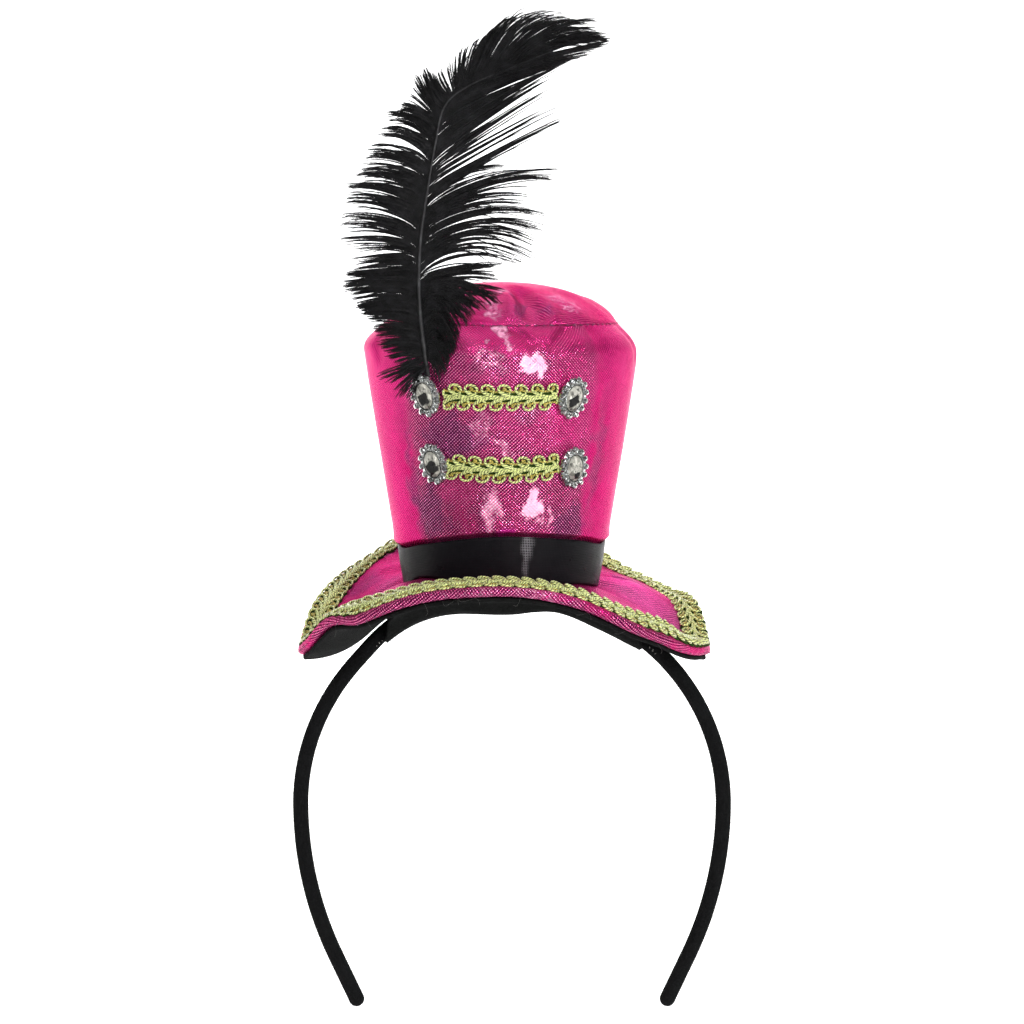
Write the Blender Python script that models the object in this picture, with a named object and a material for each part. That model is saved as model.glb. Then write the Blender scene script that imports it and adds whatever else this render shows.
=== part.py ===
# Mini top hat on a headband, in metres, +Z up.
# The front of the hat faces -Y, +X is the wearer's left, and the plume stands at -X.
# The origin is the underside of the felt patch at the top of the headband, where the head touches it.
# Azimuths are measured round the hat from its front, positive towards +X.
# Turns are measured along the headband from its top, positive towards +X.

from collections import namedtuple
from math import asin, atan2, cos, exp, floor, pi, radians, sin, sqrt

import bmesh
import bpy
from mathutils import Matrix, Vector

MM = 0.001
GAP = 0.3 * MM
TINY_GAP = 0.1 * MM
SLOPE_STEP = 0.5 * MM
SEARCH_ROUNDS = 8

# Edges sharper than these angles stay sharp.
CLOTH_SHARP_DEG = 40.0
METAL_SHARP_DEG = 50.0
STONE_SHARP_DEG = 5.0
PLUME_SHARP_DEG = 35.0

# A row of a table that is read with curve_value: the value at a place, with a smooth curve between rows.
Row = namedtuple("Row", "place value")

# Headband: a wrapped rod bent to a half circle, two gentler legs and two straight ends.
ROD_RADIUS = 2.4 * MM
ROD_SIDES_RESOLUTION = 2
TOP_RADIUS = 65.5 * MM
TOP_STEP = radians(7.5)
LEG_RADIUS = 112.0 * MM
LEG_ANGLE = radians(25.0)
LEG_STEPS = 5
END_STRAIGHT = 15.5 * MM
END_DOME_SHARES = (0.0, 0.45, 0.8, 0.97)

# How far the rod stands off its circle, by turn.
TOP_DIP = 0.3 * MM
ROD_BOW = [
    Row(radians(-60.0), 0.0),
    Row(radians(-45.0), 0.2 * MM),
    Row(radians(-35.0), 1.3 * MM),
    Row(radians(-27.0), 1.6 * MM),
    Row(radians(-18.0), 1.1 * MM),
    Row(radians(-8.0), 0.0),
    Row(0.0, -TOP_DIP),
    Row(radians(10.0), 0.0),
    Row(radians(20.0), 0.0),
]

# Felt patch that holds the rod under the brim: its thickness by turn.
PATCH_TOP_WALL = 3.0 * MM
PATCH_GAP = 0.5 * MM
PATCH_WALLS = [
    Row(radians(-38.5), 0.8 * MM),
    Row(radians(-24.0), 1.0 * MM),
    Row(radians(-15.0), 1.9 * MM),
    Row(radians(-7.0), 2.8 * MM),
    Row(0.0, PATCH_TOP_WALL),
    Row(radians(6.0), 2.1 * MM),
    Row(radians(13.0), 1.1 * MM),
    Row(radians(25.0), 1.8 * MM),
    Row(radians(34.0), 1.4 * MM),
    Row(radians(41.0), 0.8 * MM),
]
PATCH_STEPS = 16

# Section of the patch across the rod: hold is 0 under the rod and 1 against the brim.
Spot = namedtuple("Spot", "y hold")
PATCH_SECTION = [
    Spot(2.2 * MM, 0.0),
    Spot(4.6 * MM, 0.18),
    Spot(8.0 * MM, 0.85),
    Spot(13.0 * MM, 1.0),
]

BAND_CENTRE_Z = PATCH_TOP_WALL + GAP + ROD_RADIUS + TOP_DIP - TOP_RADIUS

# Brim: a round sheet bent into a saddle over the rod, with its wings cupped at the front and back.
BRIM_X = -2.4 * MM
BRIM_HALF_X = 63.6 * MM
BRIM_HALF_Y = 66.0 * MM
FELT_WALL = 1.2 * MM
BRIM_CORE = 3.0 * MM
BRIM_GAP = 0.35 * MM
BRAID_GAP = 0.5 * MM
BRIM_DEPTH = FELT_WALL + BRIM_GAP + BRIM_CORE
BRIM_STEPS = 52
HOLE_SHARE = 0.40
FELT_INNER_SHARES = (0.14, 0.27)
BRIM_SHARES = (0.55, 0.70, 0.80, 0.90)
FELT_EDGE_SHARE = 0.975
ROLL_SHARE = 0.985
ROLL_INSET = 0.25 * BRIM_CORE
RISE_POWER = 1.6

# Each wing leaves the rod at a distance from the middle and runs out to its tip.
Wing = namedtuple("Wing", "start tip_x tip_z tip_slope")
LEFT_WING = Wing(43.0 * MM, BRIM_HALF_X - BRIM_X, -14.4 * MM, 0.05)
RIGHT_WING = Wing(45.5 * MM, BRIM_HALF_X + BRIM_X, -14.0 * MM, 0.05)

# Rise of the brim's edge above the line over the rod, by azimuth.
EDGE_RISE = [
    Row(radians(-180.0), 9.6 * MM),
    Row(radians(-162.0), 12.2 * MM),
    Row(radians(-144.0), 13.0 * MM),
    Row(radians(-126.0), 15.8 * MM),
    Row(radians(-108.0), 11.3 * MM),
    Row(radians(-90.0), 1.2 * MM),
    Row(radians(-72.0), 4.6 * MM),
    Row(radians(-54.0), 12.2 * MM),
    Row(radians(-36.0), 5.9 * MM),
    Row(radians(-18.0), 3.7 * MM),
    Row(0.0, 3.2 * MM),
    Row(radians(18.0), 1.6 * MM),
    Row(radians(36.0), 0.1 * MM),
    Row(radians(54.0), 3.1 * MM),
    Row(radians(72.0), 2.4 * MM),
    Row(radians(90.0), 1.2 * MM),
    Row(radians(108.0), 10.8 * MM),
    Row(radians(126.0), 7.9 * MM),
    Row(radians(144.0), 3.5 * MM),
    Row(radians(162.0), 6.6 * MM),
    Row(radians(180.0), 9.6 * MM),
]

# Crown: a tube that flares upward and curls in to a seam, closed by a puffed tip.
CROWN_X = -3.3 * MM
CROWN_WALL = 2.0 * MM
TIP_WALL = 1.5 * MM
CROWN_STEPS = 36
CROWN_FOOT_Z = 1.8 * MM
CROWN_FOOT_RADIUS = 29.3 * MM
CROWN_FLARE = 0.16
SHOULDER_PUFF = 1.1 * MM
PUFF_HEIGHT = 84.8 * MM
PUFF_SPREAD = 4.0 * MM

Section = namedtuple("Section", "height radius")
SHOULDER = [
    Section(73.8 * MM, 40.8 * MM),
    Section(78.8 * MM, 41.4 * MM),
    Section(82.3 * MM, 41.2 * MM),
    Section(85.3 * MM, 39.6 * MM),
    Section(87.8 * MM, 37.3 * MM),
    Section(89.5 * MM, 35.6 * MM),
]
SHOULDER_INSIDE = [
    Section(89.5 * MM, 33.6 * MM),
    Section(86.0 * MM, 36.6 * MM),
    Section(80.8 * MM, 39.2 * MM),
]
DOME = [
    Section(89.8 * MM, 35.2 * MM),
    Section(92.2 * MM, 33.6 * MM),
    Section(94.7 * MM, 30.6 * MM),
    Section(97.4 * MM, 25.6 * MM),
    Section(100.0 * MM, 18.0 * MM),
    Section(101.6 * MM, 9.0 * MM),
]
DOME_TOP = 102.1 * MM

# Gathers of the crown's tip, each a valley that runs in from the seam.
Fold = namedtuple("Fold", "azimuth width depth inner outer")
FOLD_ONSET = 0.4
TIP_FOLDS = [
    Fold(radians(18.0), radians(9.0), 1.9 * MM, 12.0 * MM, 33.0 * MM),
    Fold(radians(-14.0), radians(11.0), 1.0 * MM, 14.0 * MM, 32.0 * MM),
    Fold(radians(62.0), radians(12.0), 0.9 * MM, 16.0 * MM, 33.0 * MM),
    Fold(radians(118.0), radians(10.0), 1.3 * MM, 12.0 * MM, 33.0 * MM),
    Fold(radians(165.0), radians(12.0), 1.1 * MM, 16.0 * MM, 33.0 * MM),
    Fold(radians(-148.0), radians(10.0), 1.5 * MM, 12.0 * MM, 33.0 * MM),
    Fold(radians(-96.0), radians(12.0), 1.0 * MM, 16.0 * MM, 33.0 * MM),
]

# Ribbon round the crown's foot: the height of its top edge by azimuth.
RIBBON_WALL = 1.0 * MM
RIBBON_PINCH = 1.9 * MM
PINCH_SPREAD = 3.0 * MM
RIBBON_STEPS = 36
RIBBON_TOP = [
    Row(radians(-180.0), 29.0 * MM),
    Row(radians(-76.0), 21.5 * MM),
    Row(radians(-45.0), 24.0 * MM),
    Row(radians(-11.0), 26.7 * MM),
    Row(radians(9.0), 27.0 * MM),
    Row(radians(45.0), 25.2 * MM),
    Row(radians(76.0), 22.7 * MM),
    Row(radians(180.0), 29.0 * MM),
]

# Gimp braid: loops on both edges, the two rows set half a loop apart.
BRAID_WIDTH = 8.4 * MM
BRAID_THICK = 1.6 * MM
BRAID_SCALLOP = 0.7 * MM
BRIM_LOOPS = 80
FRONT_LOOPS = 8

# Sections of the two braids: side runs from one edge to the other, level from the back to the face.
Corner = namedtuple("Corner", "side level")
BRIM_BRAID_SECTION = [Corner(1.0, 0.0), Corner(0.6, 1.0), Corner(-0.6, 1.0), Corner(-1.0, 0.0)]
FRONT_BRAID_SECTION = [
    Corner(-1.0, 0.0),
    Corner(-1.0, 0.75),
    Corner(0.0, 1.0),
    Corner(1.0, 0.75),
    Corner(1.0, 0.0),
]

Frog = namedtuple("Frog", "name height left right sag")
FROGS = [
    Frog("upper_front_braid", 69.0 * MM, radians(-22.6), radians(22.6), 0.2 * MM),
    Frog("lower_front_braid", 48.3 * MM, radians(-22.6), radians(25.0), 1.0 * MM),
]

# Jewels at the ends of the front braids: an oval plate with a ring of beads, and a cut stone.
PLATE_HALF = (4.0 * MM, 5.5 * MM)
BEADS = 12
BEAD_SIDES = 10
BEAD_RADIUS = 1.1 * MM
BEAD_SHOULDER_REACH = 0.82
BEAD_SHOULDER_LEVEL = 1.57
WALK_STEPS = 720
SEAT_HALF = (2.85 * MM, 4.15 * MM)
SEAT_TOP = 1.7 * MM
SEAT_FLOOR = 0.6 * MM
STONE_SIDES = 10
STONE_CLEAR = 0.25 * MM
STONE_SUNK = 0.2 * MM
STONE_GIRDLE = 0.3 * MM
STONE_CROWN = 1.25 * MM
STONE_BREAK = Corner(0.84, 0.6)
STONE_TABLE = 0.55
QUILL_ROOM = 1.3 * MM

Jewel = namedtuple("Jewel", "place height azimuth lean lift")
JEWELS = [
    Jewel("upper_left", 69.5 * MM, radians(-31.3), radians(10.0), QUILL_ROOM),
    Jewel("lower_left", 48.9 * MM, radians(-31.6), radians(12.0), 0.0),
    Jewel("upper_right", 68.6 * MM, radians(31.1), radians(-13.0), 0.0),
    Jewel("lower_right", 47.7 * MM, radians(34.8), radians(4.0), 0.0),
]

# Plume: a quill with locks of barbs on both sides, each lock a ridged blade.
Station = namedtuple("Station", "x y z")
QUILL_FOOT = [
    Station(-23.9 * MM, -35.5 * MM, 71.8 * MM),
    Station(-24.5 * MM, -35.8 * MM, 74.8 * MM),
]
QUILL = [
    Station(-25.1 * MM, -36.2 * MM, 78.1 * MM),
    Station(-26.6 * MM, -38.0 * MM, 90.5 * MM),
    Station(-27.2 * MM, -38.4 * MM, 103.0 * MM),
    Station(-26.6 * MM, -38.0 * MM, 115.5 * MM),
    Station(-24.8 * MM, -37.4 * MM, 128.0 * MM),
    Station(-22.5 * MM, -36.8 * MM, 141.5 * MM),
    Station(-19.6 * MM, -36.4 * MM, 153.4 * MM),
    Station(-12.2 * MM, -36.0 * MM, 159.5 * MM),
    Station(-1.0 * MM, -35.6 * MM, 164.2 * MM),
    Station(12.0 * MM, -35.4 * MM, 169.3 * MM),
    Station(24.8 * MM, -35.4 * MM, 172.4 * MM),
]
QUILL_HALF_WIDTH = 0.9 * MM
QUILL_HALF_DEPTH = 0.65 * MM
QUILL_FOOT_THICK = (0.45, 0.7)
QUILL_TAPER = 0.75
PLUME_FREE_Z = 94.7 * MM
LOCK_EDGE = 0.25 * MM
LOCK_RIDGE = 0.7 * MM
LOCK_REST = 1.2 * MM
LOCK_SHIFT = 2.2 * MM
LOCK_POINT = 0.4
LEFT_SPLIT = 0.5
RIGHT_SPLIT = 0.4

# Where a lock narrows between its split and its tip: its place, and its width and thickness there.
Narrow = namedtuple("Narrow", "place width thick")
LOCK_NARROWS = [Narrow(0.72, 0.72, 0.8), Narrow(0.92, 0.36, 0.6)]

# One row for each pair of locks, from the quill's foot to its tip: where each tip lies and how far it arches.
Lock = namedtuple("Lock", "left_x left_z left_arch right_x right_z right_arch")
LOCKS = [
    Lock(-41.0 * MM, 87.8 * MM, -1.0 * MM, -14.7 * MM, 81.9 * MM, 1.5 * MM),
    Lock(-44.5 * MM, 96.3 * MM, 0.5 * MM, -2.0 * MM, 91.9 * MM, 2.5 * MM),
    Lock(-48.8 * MM, 102.7 * MM, 1.5 * MM, -3.5 * MM, 106.5 * MM, 0.5 * MM),
    Lock(-48.2 * MM, 114.3 * MM, 2.0 * MM, 5.3 * MM, 108.8 * MM, 6.0 * MM),
    Lock(-49.0 * MM, 121.3 * MM, 2.0 * MM, 9.0 * MM, 118.1 * MM, 5.0 * MM),
    Lock(-47.8 * MM, 129.1 * MM, 2.0 * MM, 12.8 * MM, 133.5 * MM, 3.0 * MM),
    Lock(-42.2 * MM, 139.3 * MM, 1.5 * MM, 13.4 * MM, 148.8 * MM, 0.5 * MM),
    Lock(-38.4 * MM, 146.2 * MM, 1.0 * MM, 11.6 * MM, 155.2 * MM, 0.5 * MM),
    Lock(-36.1 * MM, 151.4 * MM, 0.5 * MM, 11.3 * MM, 160.4 * MM, 1.0 * MM),
    Lock(-29.4 * MM, 160.9 * MM, 0.0, 14.5 * MM, 163.2 * MM, 0.5 * MM),
    Lock(-24.4 * MM, 164.4 * MM, 0.0, 19.2 * MM, 166.0 * MM, 0.5 * MM),
    Lock(-14.5 * MM, 169.6 * MM, 0.5 * MM, 22.6 * MM, 168.2 * MM, 0.3 * MM),
    Lock(-8.4 * MM, 174.2 * MM, 0.5 * MM, 25.5 * MM, 170.0 * MM, 0.2 * MM),
    Lock(0.0, 179.9 * MM, 0.5 * MM, 27.8 * MM, 171.4 * MM, 0.1 * MM),
    Lock(9.6 * MM, 178.7 * MM, 0.5 * MM, 27.8 * MM, 173.0 * MM, 0.0),
    Lock(18.6 * MM, 178.2 * MM, 0.3 * MM, 28.4 * MM, 174.6 * MM, 0.0),
]

# Colour, metallic value and roughness of each finish.
Finish = namedtuple("Finish", "colour metallic roughness")
FINISHES = {
    "lame": Finish((0.78, 0.04, 0.28), 0.35, 0.38),
    "satin": Finish((0.012, 0.012, 0.014), 0.0, 0.35),
    "felt": Finish((0.010, 0.010, 0.011), 0.0, 0.95),
    "velvet": Finish((0.008, 0.008, 0.009), 0.0, 0.9),
    "gimp": Finish((0.62, 0.60, 0.22), 0.55, 0.42),
    "gunmetal": Finish((0.32, 0.32, 0.33), 0.9, 0.3),
    "smoke": Finish((0.16, 0.16, 0.15), 0.1, 0.08),
    "plume": Finish((0.006, 0.006, 0.008), 0.0, 0.6),
}


def clear_scene():
    for obj in list(bpy.data.objects):
        bpy.data.objects.remove(obj, do_unlink=True)


def finish_material(name):
    found = bpy.data.materials.get(name)
    if found:
        return found
    finish = FINISHES[name]
    material = bpy.data.materials.new(name)
    material.use_nodes = True
    shader = material.node_tree.nodes["Principled BSDF"]
    shader.inputs["Base Color"].default_value = (*finish.colour, 1.0)
    shader.inputs["Metallic"].default_value = finish.metallic
    shader.inputs["Roughness"].default_value = finish.roughness
    return material


def add_object(name, data, finish):
    obj = bpy.data.objects.new(name, data)
    bpy.context.collection.objects.link(obj)
    data.materials.append(finish_material(finish))
    return obj


def finish_mesh(bm, name, sharp_deg):
    bmesh.ops.recalc_face_normals(bm, faces=bm.faces)
    mesh = bpy.data.meshes.new(name)
    bm.to_mesh(mesh)
    bm.free()
    mesh.shade_smooth()
    mesh.set_sharp_from_angle(angle=radians(sharp_deg))
    return mesh


def ring_size(ring):
    middle = sum(ring, Vector()) / len(ring)
    return sum((p - middle).length for p in ring)


def skin_rings(bm, rings, joined=False):
    """Bridge rings of points with triangles. A ring of one point closes that end.
    Each diagonal runs from the smaller ring to the larger one, so that stacked walls stay parallel."""
    verts = [[bm.verts.new(p) for p in ring] for ring in rings]
    sizes = [ring_size(ring) for ring in rings]
    order = list(range(len(rings)))
    pairs = list(zip(order, order[1:]))
    if joined:
        pairs.append((order[-1], order[0]))
    for a, b in pairs:
        small, large = (a, b) if sizes[a] < sizes[b] else (b, a)
        count = max(len(verts[a]), len(verts[b]))
        for i in range(count):
            j = (i + 1) % count
            s_i, s_j = (verts[small][k % len(verts[small])] for k in (i, j))
            l_i, l_j = (verts[large][k % len(verts[large])] for k in (i, j))
            if l_i is not l_j:
                bm.faces.new((s_i, l_j, l_i))
            if s_i is not s_j:
                bm.faces.new((s_i, s_j, l_j))
    return verts


def mesh_from_rings(name, rings, joined=False, sharp_deg=CLOTH_SHARP_DEG):
    bm = bmesh.new()
    skin_rings(bm, rings, joined)
    return finish_mesh(bm, name, sharp_deg)


def even_turns(steps):
    return [2 * pi * i / steps for i in range(steps)]


def smooth_step(value):
    t = min(max(value, 0.0), 1.0)
    return t * t * (3.0 - 2.0 * t)


def bump(value, centre, width):
    return exp(-(((value - centre) / width) ** 2))


def turn_gap(a, b):
    """The smallest turn between two azimuths."""
    return atan2(sin(a - b), cos(a - b))


def hermite(start, end, slope_start, slope_end, span, t):
    """A cubic from start to end over a span, with a slope at each end."""
    ends = start * (2 * t**3 - 3 * t**2 + 1) + end * (3 * t**2 - 2 * t**3)
    return ends + span * (slope_start * (t**3 - 2 * t**2 + t) + slope_end * (t**3 - t**2))


def curve_value(rows, place):
    """The value at a place on the smooth curve through a table's rows, held level beyond its ends."""
    if place <= rows[0].place:
        return rows[0].value
    if place >= rows[-1].place:
        return rows[-1].value
    i = max(k for k in range(len(rows) - 1) if rows[k].place <= place)
    low, high = rows[i], rows[i + 1]
    before, after = rows[max(i - 1, 0)], rows[min(i + 2, len(rows) - 1)]
    span = high.place - low.place
    slope_low = (high.value - before.value) / (high.place - before.place)
    slope_high = (after.value - low.value) / (after.place - low.place)
    return hermite(low.value, high.value, slope_low, slope_high, span, (place - low.place) / span)


def wrapped(rows):
    """A table that goes all the way round, with one more row past each end."""
    before = Row(rows[-2].place - 2 * pi, rows[-2].value)
    after = Row(rows[1].place + 2 * pi, rows[1].value)
    return [before] + rows + [after]


def spline_point(points, share):
    """A point of the smooth curve through the given points, share running from 0 to 1."""
    last = len(points) - 1
    place = min(max(share, 0.0), 1.0) * last
    i = min(int(floor(place)), last - 1)
    before, start, end = points[max(i - 1, 0)], points[i], points[i + 1]
    after = points[min(i + 2, last)]
    return hermite(start, end, (end - before) * 0.5, (after - start) * 0.5, 1.0, place - i)


# The saddle


def rod_radius(turn):
    return TOP_RADIUS + curve_value(ROD_BOW, turn)


def over_rod(x):
    """Height of a sheet that lies on the rod."""
    radius = TOP_RADIUS
    turn = 0.0
    for _ in range(SEARCH_ROUNDS):
        radius = rod_radius(turn) + ROD_RADIUS + GAP
        turn = asin(x / radius)
    return BAND_CENTRE_Z + radius * cos(turn)


def rest_line(x):
    """Height of the brim's underside above the rod, then along each wing."""
    wing = LEFT_WING if x < 0 else RIGHT_WING
    if abs(x) <= wing.start:
        return over_rod(x)
    side = -1.0 if x < 0 else 1.0
    leave = over_rod(side * wing.start)
    slope = (leave - over_rod(side * (wing.start - SLOPE_STEP))) / SLOPE_STEP
    span = wing.tip_x - wing.start
    return hermite(leave, wing.tip_z, slope, wing.tip_slope, span, (abs(x) - wing.start) / span)


def underside(x, y):
    """Height of the lowest face of the brim."""
    across = (x - BRIM_X) / BRIM_HALF_X
    along = y / BRIM_HALF_Y
    share = sqrt(across**2 + along**2)
    rise = curve_value(wrapped(EDGE_RISE), atan2(across, -along)) if share > 0 else 0.0
    return rest_line(x) + rise * share**RISE_POWER


def slopes(x, y):
    across = underside(x + SLOPE_STEP, y) - underside(x - SLOPE_STEP, y)
    along = underside(x, y + SLOPE_STEP) - underside(x, y - SLOPE_STEP)
    return across / (2 * SLOPE_STEP), along / (2 * SLOPE_STEP)


def brim_point(share, azimuth, offset):
    """A point above the underside, square to it; share runs from the middle to the edge."""
    x = BRIM_X + BRIM_HALF_X * share * sin(azimuth)
    y = -BRIM_HALF_Y * share * cos(azimuth)
    across, along = slopes(x, y)
    normal = Vector((-across, -along, 1.0)).normalized()
    return Vector((x, y, underside(x, y))) + normal * offset


def brim_top(x, y):
    """Height of the brim's upper face over a point of the plan."""
    across, along = slopes(x, y)
    return underside(x, y) + BRIM_DEPTH * sqrt(1.0 + across**2 + along**2)


def brim_ring(share, offset):
    return [brim_point(share, azimuth, offset) for azimuth in even_turns(BRIM_STEPS)]


# The pieces


def make_headband():
    foot_x = TOP_RADIUS - LEG_RADIUS * (1 - cos(LEG_ANGLE))
    foot_z = BAND_CENTRE_Z - LEG_RADIUS * sin(LEG_ANGLE)
    ahead = Vector((-sin(LEG_ANGLE), 0.0, -cos(LEG_ANGLE)))
    foot = Vector((foot_x, 0.0, foot_z))

    leg = []
    for i in range(1, LEG_STEPS + 1):
        a = LEG_ANGLE * i / LEG_STEPS
        x = TOP_RADIUS - LEG_RADIUS * (1 - cos(a))
        leg.append((Vector((x, 0.0, BAND_CENTRE_Z - LEG_RADIUS * sin(a))), 1.0))
    leg.append((foot + ahead * 0.5 * END_STRAIGHT, 1.0))
    for share in END_DOME_SHARES:
        leg.append((foot + ahead * (END_STRAIGHT + ROD_RADIUS * share), sqrt(1.0 - share**2)))

    arch = []
    steps = round(pi / TOP_STEP)
    for i in range(steps + 1):
        turn = TOP_STEP * (i - 0.5 * steps)
        radius = rod_radius(turn)
        arch.append((Vector((radius * sin(turn), 0.0, BAND_CENTRE_Z + radius * cos(turn))), 1.0))
    left_leg = [(Vector((-p.x, 0.0, p.z)), thick) for p, thick in reversed(leg)]
    line = left_leg + arch + leg

    curve = bpy.data.curves.new("headband", "CURVE")
    curve.dimensions = "3D"
    curve.resolution_u = 1
    curve.bevel_depth = ROD_RADIUS
    curve.bevel_resolution = ROD_SIDES_RESOLUTION
    curve.use_fill_caps = True
    spline = curve.splines.new("POLY")
    spline.points.add(len(line) - 1)
    for point, (spot, thick) in zip(spline.points, line):
        point.co = (*spot, 1.0)
        point.radius = thick
    add_object("headband", curve, "velvet")


def free_radius(turn, y):
    """Distance from the band's centre to a sheet held against the brim's underside."""
    radius = rod_radius(turn) + ROD_RADIUS
    for _ in range(SEARCH_ROUNDS):
        level = underside(radius * sin(turn), y) - PATCH_GAP / cos(turn)
        radius = (level - BAND_CENTRE_Z) / cos(turn)
    return radius


def patch_ring(turn):
    """Section of the felt patch across the rod, as a loop of points."""
    inside = rod_radius(turn) - ROD_RADIUS - GAP
    wall = curve_value(PATCH_WALLS, turn)
    half = [(-s.y, s.hold) for s in reversed(PATCH_SECTION)] + [(s.y, s.hold) for s in PATCH_SECTION]
    upper = [(y, inside + (free_radius(turn, y) - inside) * hold) for y, hold in half]
    lower = [(y, level - wall) for y, level in reversed(upper)]
    return [Vector((r * sin(turn), y, BAND_CENTRE_Z + r * cos(turn))) for y, r in upper + lower]


def make_felt_patch():
    first, last = PATCH_WALLS[0].place, PATCH_WALLS[-1].place
    rings = [patch_ring(first + (last - first) * i / PATCH_STEPS) for i in range(PATCH_STEPS + 1)]
    bm = bmesh.new()
    verts = skin_rings(bm, rings)
    for ring in (verts[0], verts[-1]):
        count = len(ring)
        for i in range(count // 2 - 1):
            bm.faces.new((ring[i], ring[i + 1], ring[count - 2 - i], ring[count - 1 - i]))
    add_object("felt_patch", finish_mesh(bm, "felt_patch", CLOTH_SHARP_DEG), "felt")


def make_brim_felt():
    shares = [*FELT_INNER_SHARES, HOLE_SHARE, *BRIM_SHARES, FELT_EDGE_SHARE]
    low = [brim_ring(s, 0.0) for s in shares]
    high = [brim_ring(s, FELT_WALL) for s in shares[1:]]
    rings = [[brim_point(0.0, 0.0, 0.0)]] + low + high[::-1] + [[brim_point(0.0, 0.0, FELT_WALL)]]
    add_object("brim_felt", mesh_from_rings("brim_felt", rings), "felt")


def make_brim():
    bottom = FELT_WALL + BRIM_GAP
    shares = [HOLE_SHARE, *BRIM_SHARES]
    rings = [brim_ring(s, bottom) for s in shares]
    rings.append(brim_ring(FELT_EDGE_SHARE, bottom))
    rings.append(brim_ring(1.0, bottom + ROLL_INSET))
    rings.append(brim_ring(1.0, BRIM_DEPTH - ROLL_INSET))
    rings.append(brim_ring(ROLL_SHARE, BRIM_DEPTH))
    rings += [brim_ring(s, BRIM_DEPTH) for s in reversed(shares)]
    add_object("brim", mesh_from_rings("brim", rings, joined=True), "lame")


def crown_point(height, radius, azimuth):
    return Vector((CROWN_X + radius * sin(azimuth), -radius * cos(azimuth), height))


def ribbon_edge(azimuth):
    """Height of the ribbon's top edge."""
    return curve_value(wrapped(RIBBON_TOP), turn_gap(azimuth, 0.0))


def full_radius(height):
    """Outer radius of the crown's wall before the ribbon draws it in."""
    if height <= SHOULDER[0].height:
        return CROWN_FOOT_RADIUS + CROWN_FLARE * (height - CROWN_FOOT_Z)
    for low, high in zip(SHOULDER, SHOULDER[1:]):
        if height <= high.height:
            t = (height - low.height) / (high.height - low.height)
            return low.radius + (high.radius - low.radius) * t
    return SHOULDER[-1].radius


def wall_radius(height, azimuth):
    """Outer radius of the crown's wall, drawn in under the ribbon."""
    pinch = smooth_step((ribbon_edge(azimuth) + PINCH_SPREAD - height) / PINCH_SPREAD)
    return full_radius(height) - RIBBON_PINCH * pinch


def crown_foot(azimuth, clear=0.0):
    """Height where a wall that stands clear of the crown's outer face meets the brim."""
    z = 0.0
    for _ in range(SEARCH_ROUNDS):
        p = crown_point(0.0, wall_radius(z, azimuth) + clear, azimuth)
        z = brim_top(p.x, p.y) + GAP
    return z


def shoulder_puff(azimuth, height):
    """How much fuller the shoulder is, most at the left."""
    side = 0.5 - 0.5 * sin(azimuth)
    return SHOULDER_PUFF * side * bump(height, PUFF_HEIGHT, PUFF_SPREAD)


def make_crown_side():
    turns = even_turns(CROWN_STEPS)

    def foot_ring(inset):
        heights = [crown_foot(a, -inset) for a in turns]
        return [crown_point(z, wall_radius(z, a) - inset, a) for a, z in zip(turns, heights)]

    def above_ribbon(rise, inset):
        heights = [ribbon_edge(a) + rise for a in turns]
        return [crown_point(z, wall_radius(z, a) - inset, a) for a, z in zip(turns, heights)]

    outer = [foot_ring(0.0), above_ribbon(0.0, 0.0), above_ribbon(PINCH_SPREAD, 0.0)]
    for row in SHOULDER:
        outer.append([crown_point(row.height, row.radius + shoulder_puff(a, row.height), a) for a in turns])
    inner = [[crown_point(row.height, row.radius, a) for a in turns] for row in SHOULDER_INSIDE]
    inner.append(above_ribbon(PINCH_SPREAD, CROWN_WALL))
    inner.append(foot_ring(CROWN_WALL))
    mesh = mesh_from_rings("crown_side", outer + inner, joined=True)
    add_object("crown_side", mesh, "lame")


def tip_gather(azimuth, radius):
    """Depth of the tip's gathers at a place of the plan."""
    depth = 0.0
    rim = DOME[0].radius
    for fold in TIP_FOLDS:
        reach = smooth_step((radius - fold.inner) / (FOLD_ONSET * (fold.outer - fold.inner)))
        reach *= smooth_step((rim - radius) / (rim - fold.outer))
        depth += fold.depth * reach * bump(turn_gap(azimuth, fold.azimuth), 0.0, fold.width)
    return depth


def make_crown_tip():
    turns = even_turns(CROWN_STEPS)
    seam = DOME[0]
    outer = []
    for row in DOME:
        outer.append([crown_point(row.height - tip_gather(a, row.radius), row.radius, a) for a in turns])
    inner = [[crown_point(seam.height, seam.radius - CROWN_WALL, a) for a in turns]]
    for row in (DOME[1], DOME[2], DOME[4]):
        ring = []
        for a in turns:
            z = row.height - TIP_WALL - tip_gather(a, row.radius)
            ring.append(crown_point(max(z, seam.height), row.radius - TIP_WALL, a))
        inner.append(ring)
    top = [[crown_point(DOME_TOP, 0.0, 0.0)]]
    under = [[crown_point(DOME_TOP - CROWN_WALL, 0.0, 0.0)]]
    rings = top + outer[::-1] + inner + under
    add_object("crown_tip", mesh_from_rings("crown_tip", rings), "lame")


def make_hat_band():
    turns = even_turns(RIBBON_STEPS)

    def ring(at_top, clear):
        points = []
        for a in turns:
            z = ribbon_edge(a) if at_top else crown_foot(a, clear) + TINY_GAP
            points.append(crown_point(z, wall_radius(z, a) + clear, a))
        return points

    far = GAP + RIBBON_WALL
    rings = [ring(False, far), ring(True, far), ring(True, GAP), ring(False, GAP)]
    add_object("hat_band", mesh_from_rings("hat_band", rings, joined=True), "satin")


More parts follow.
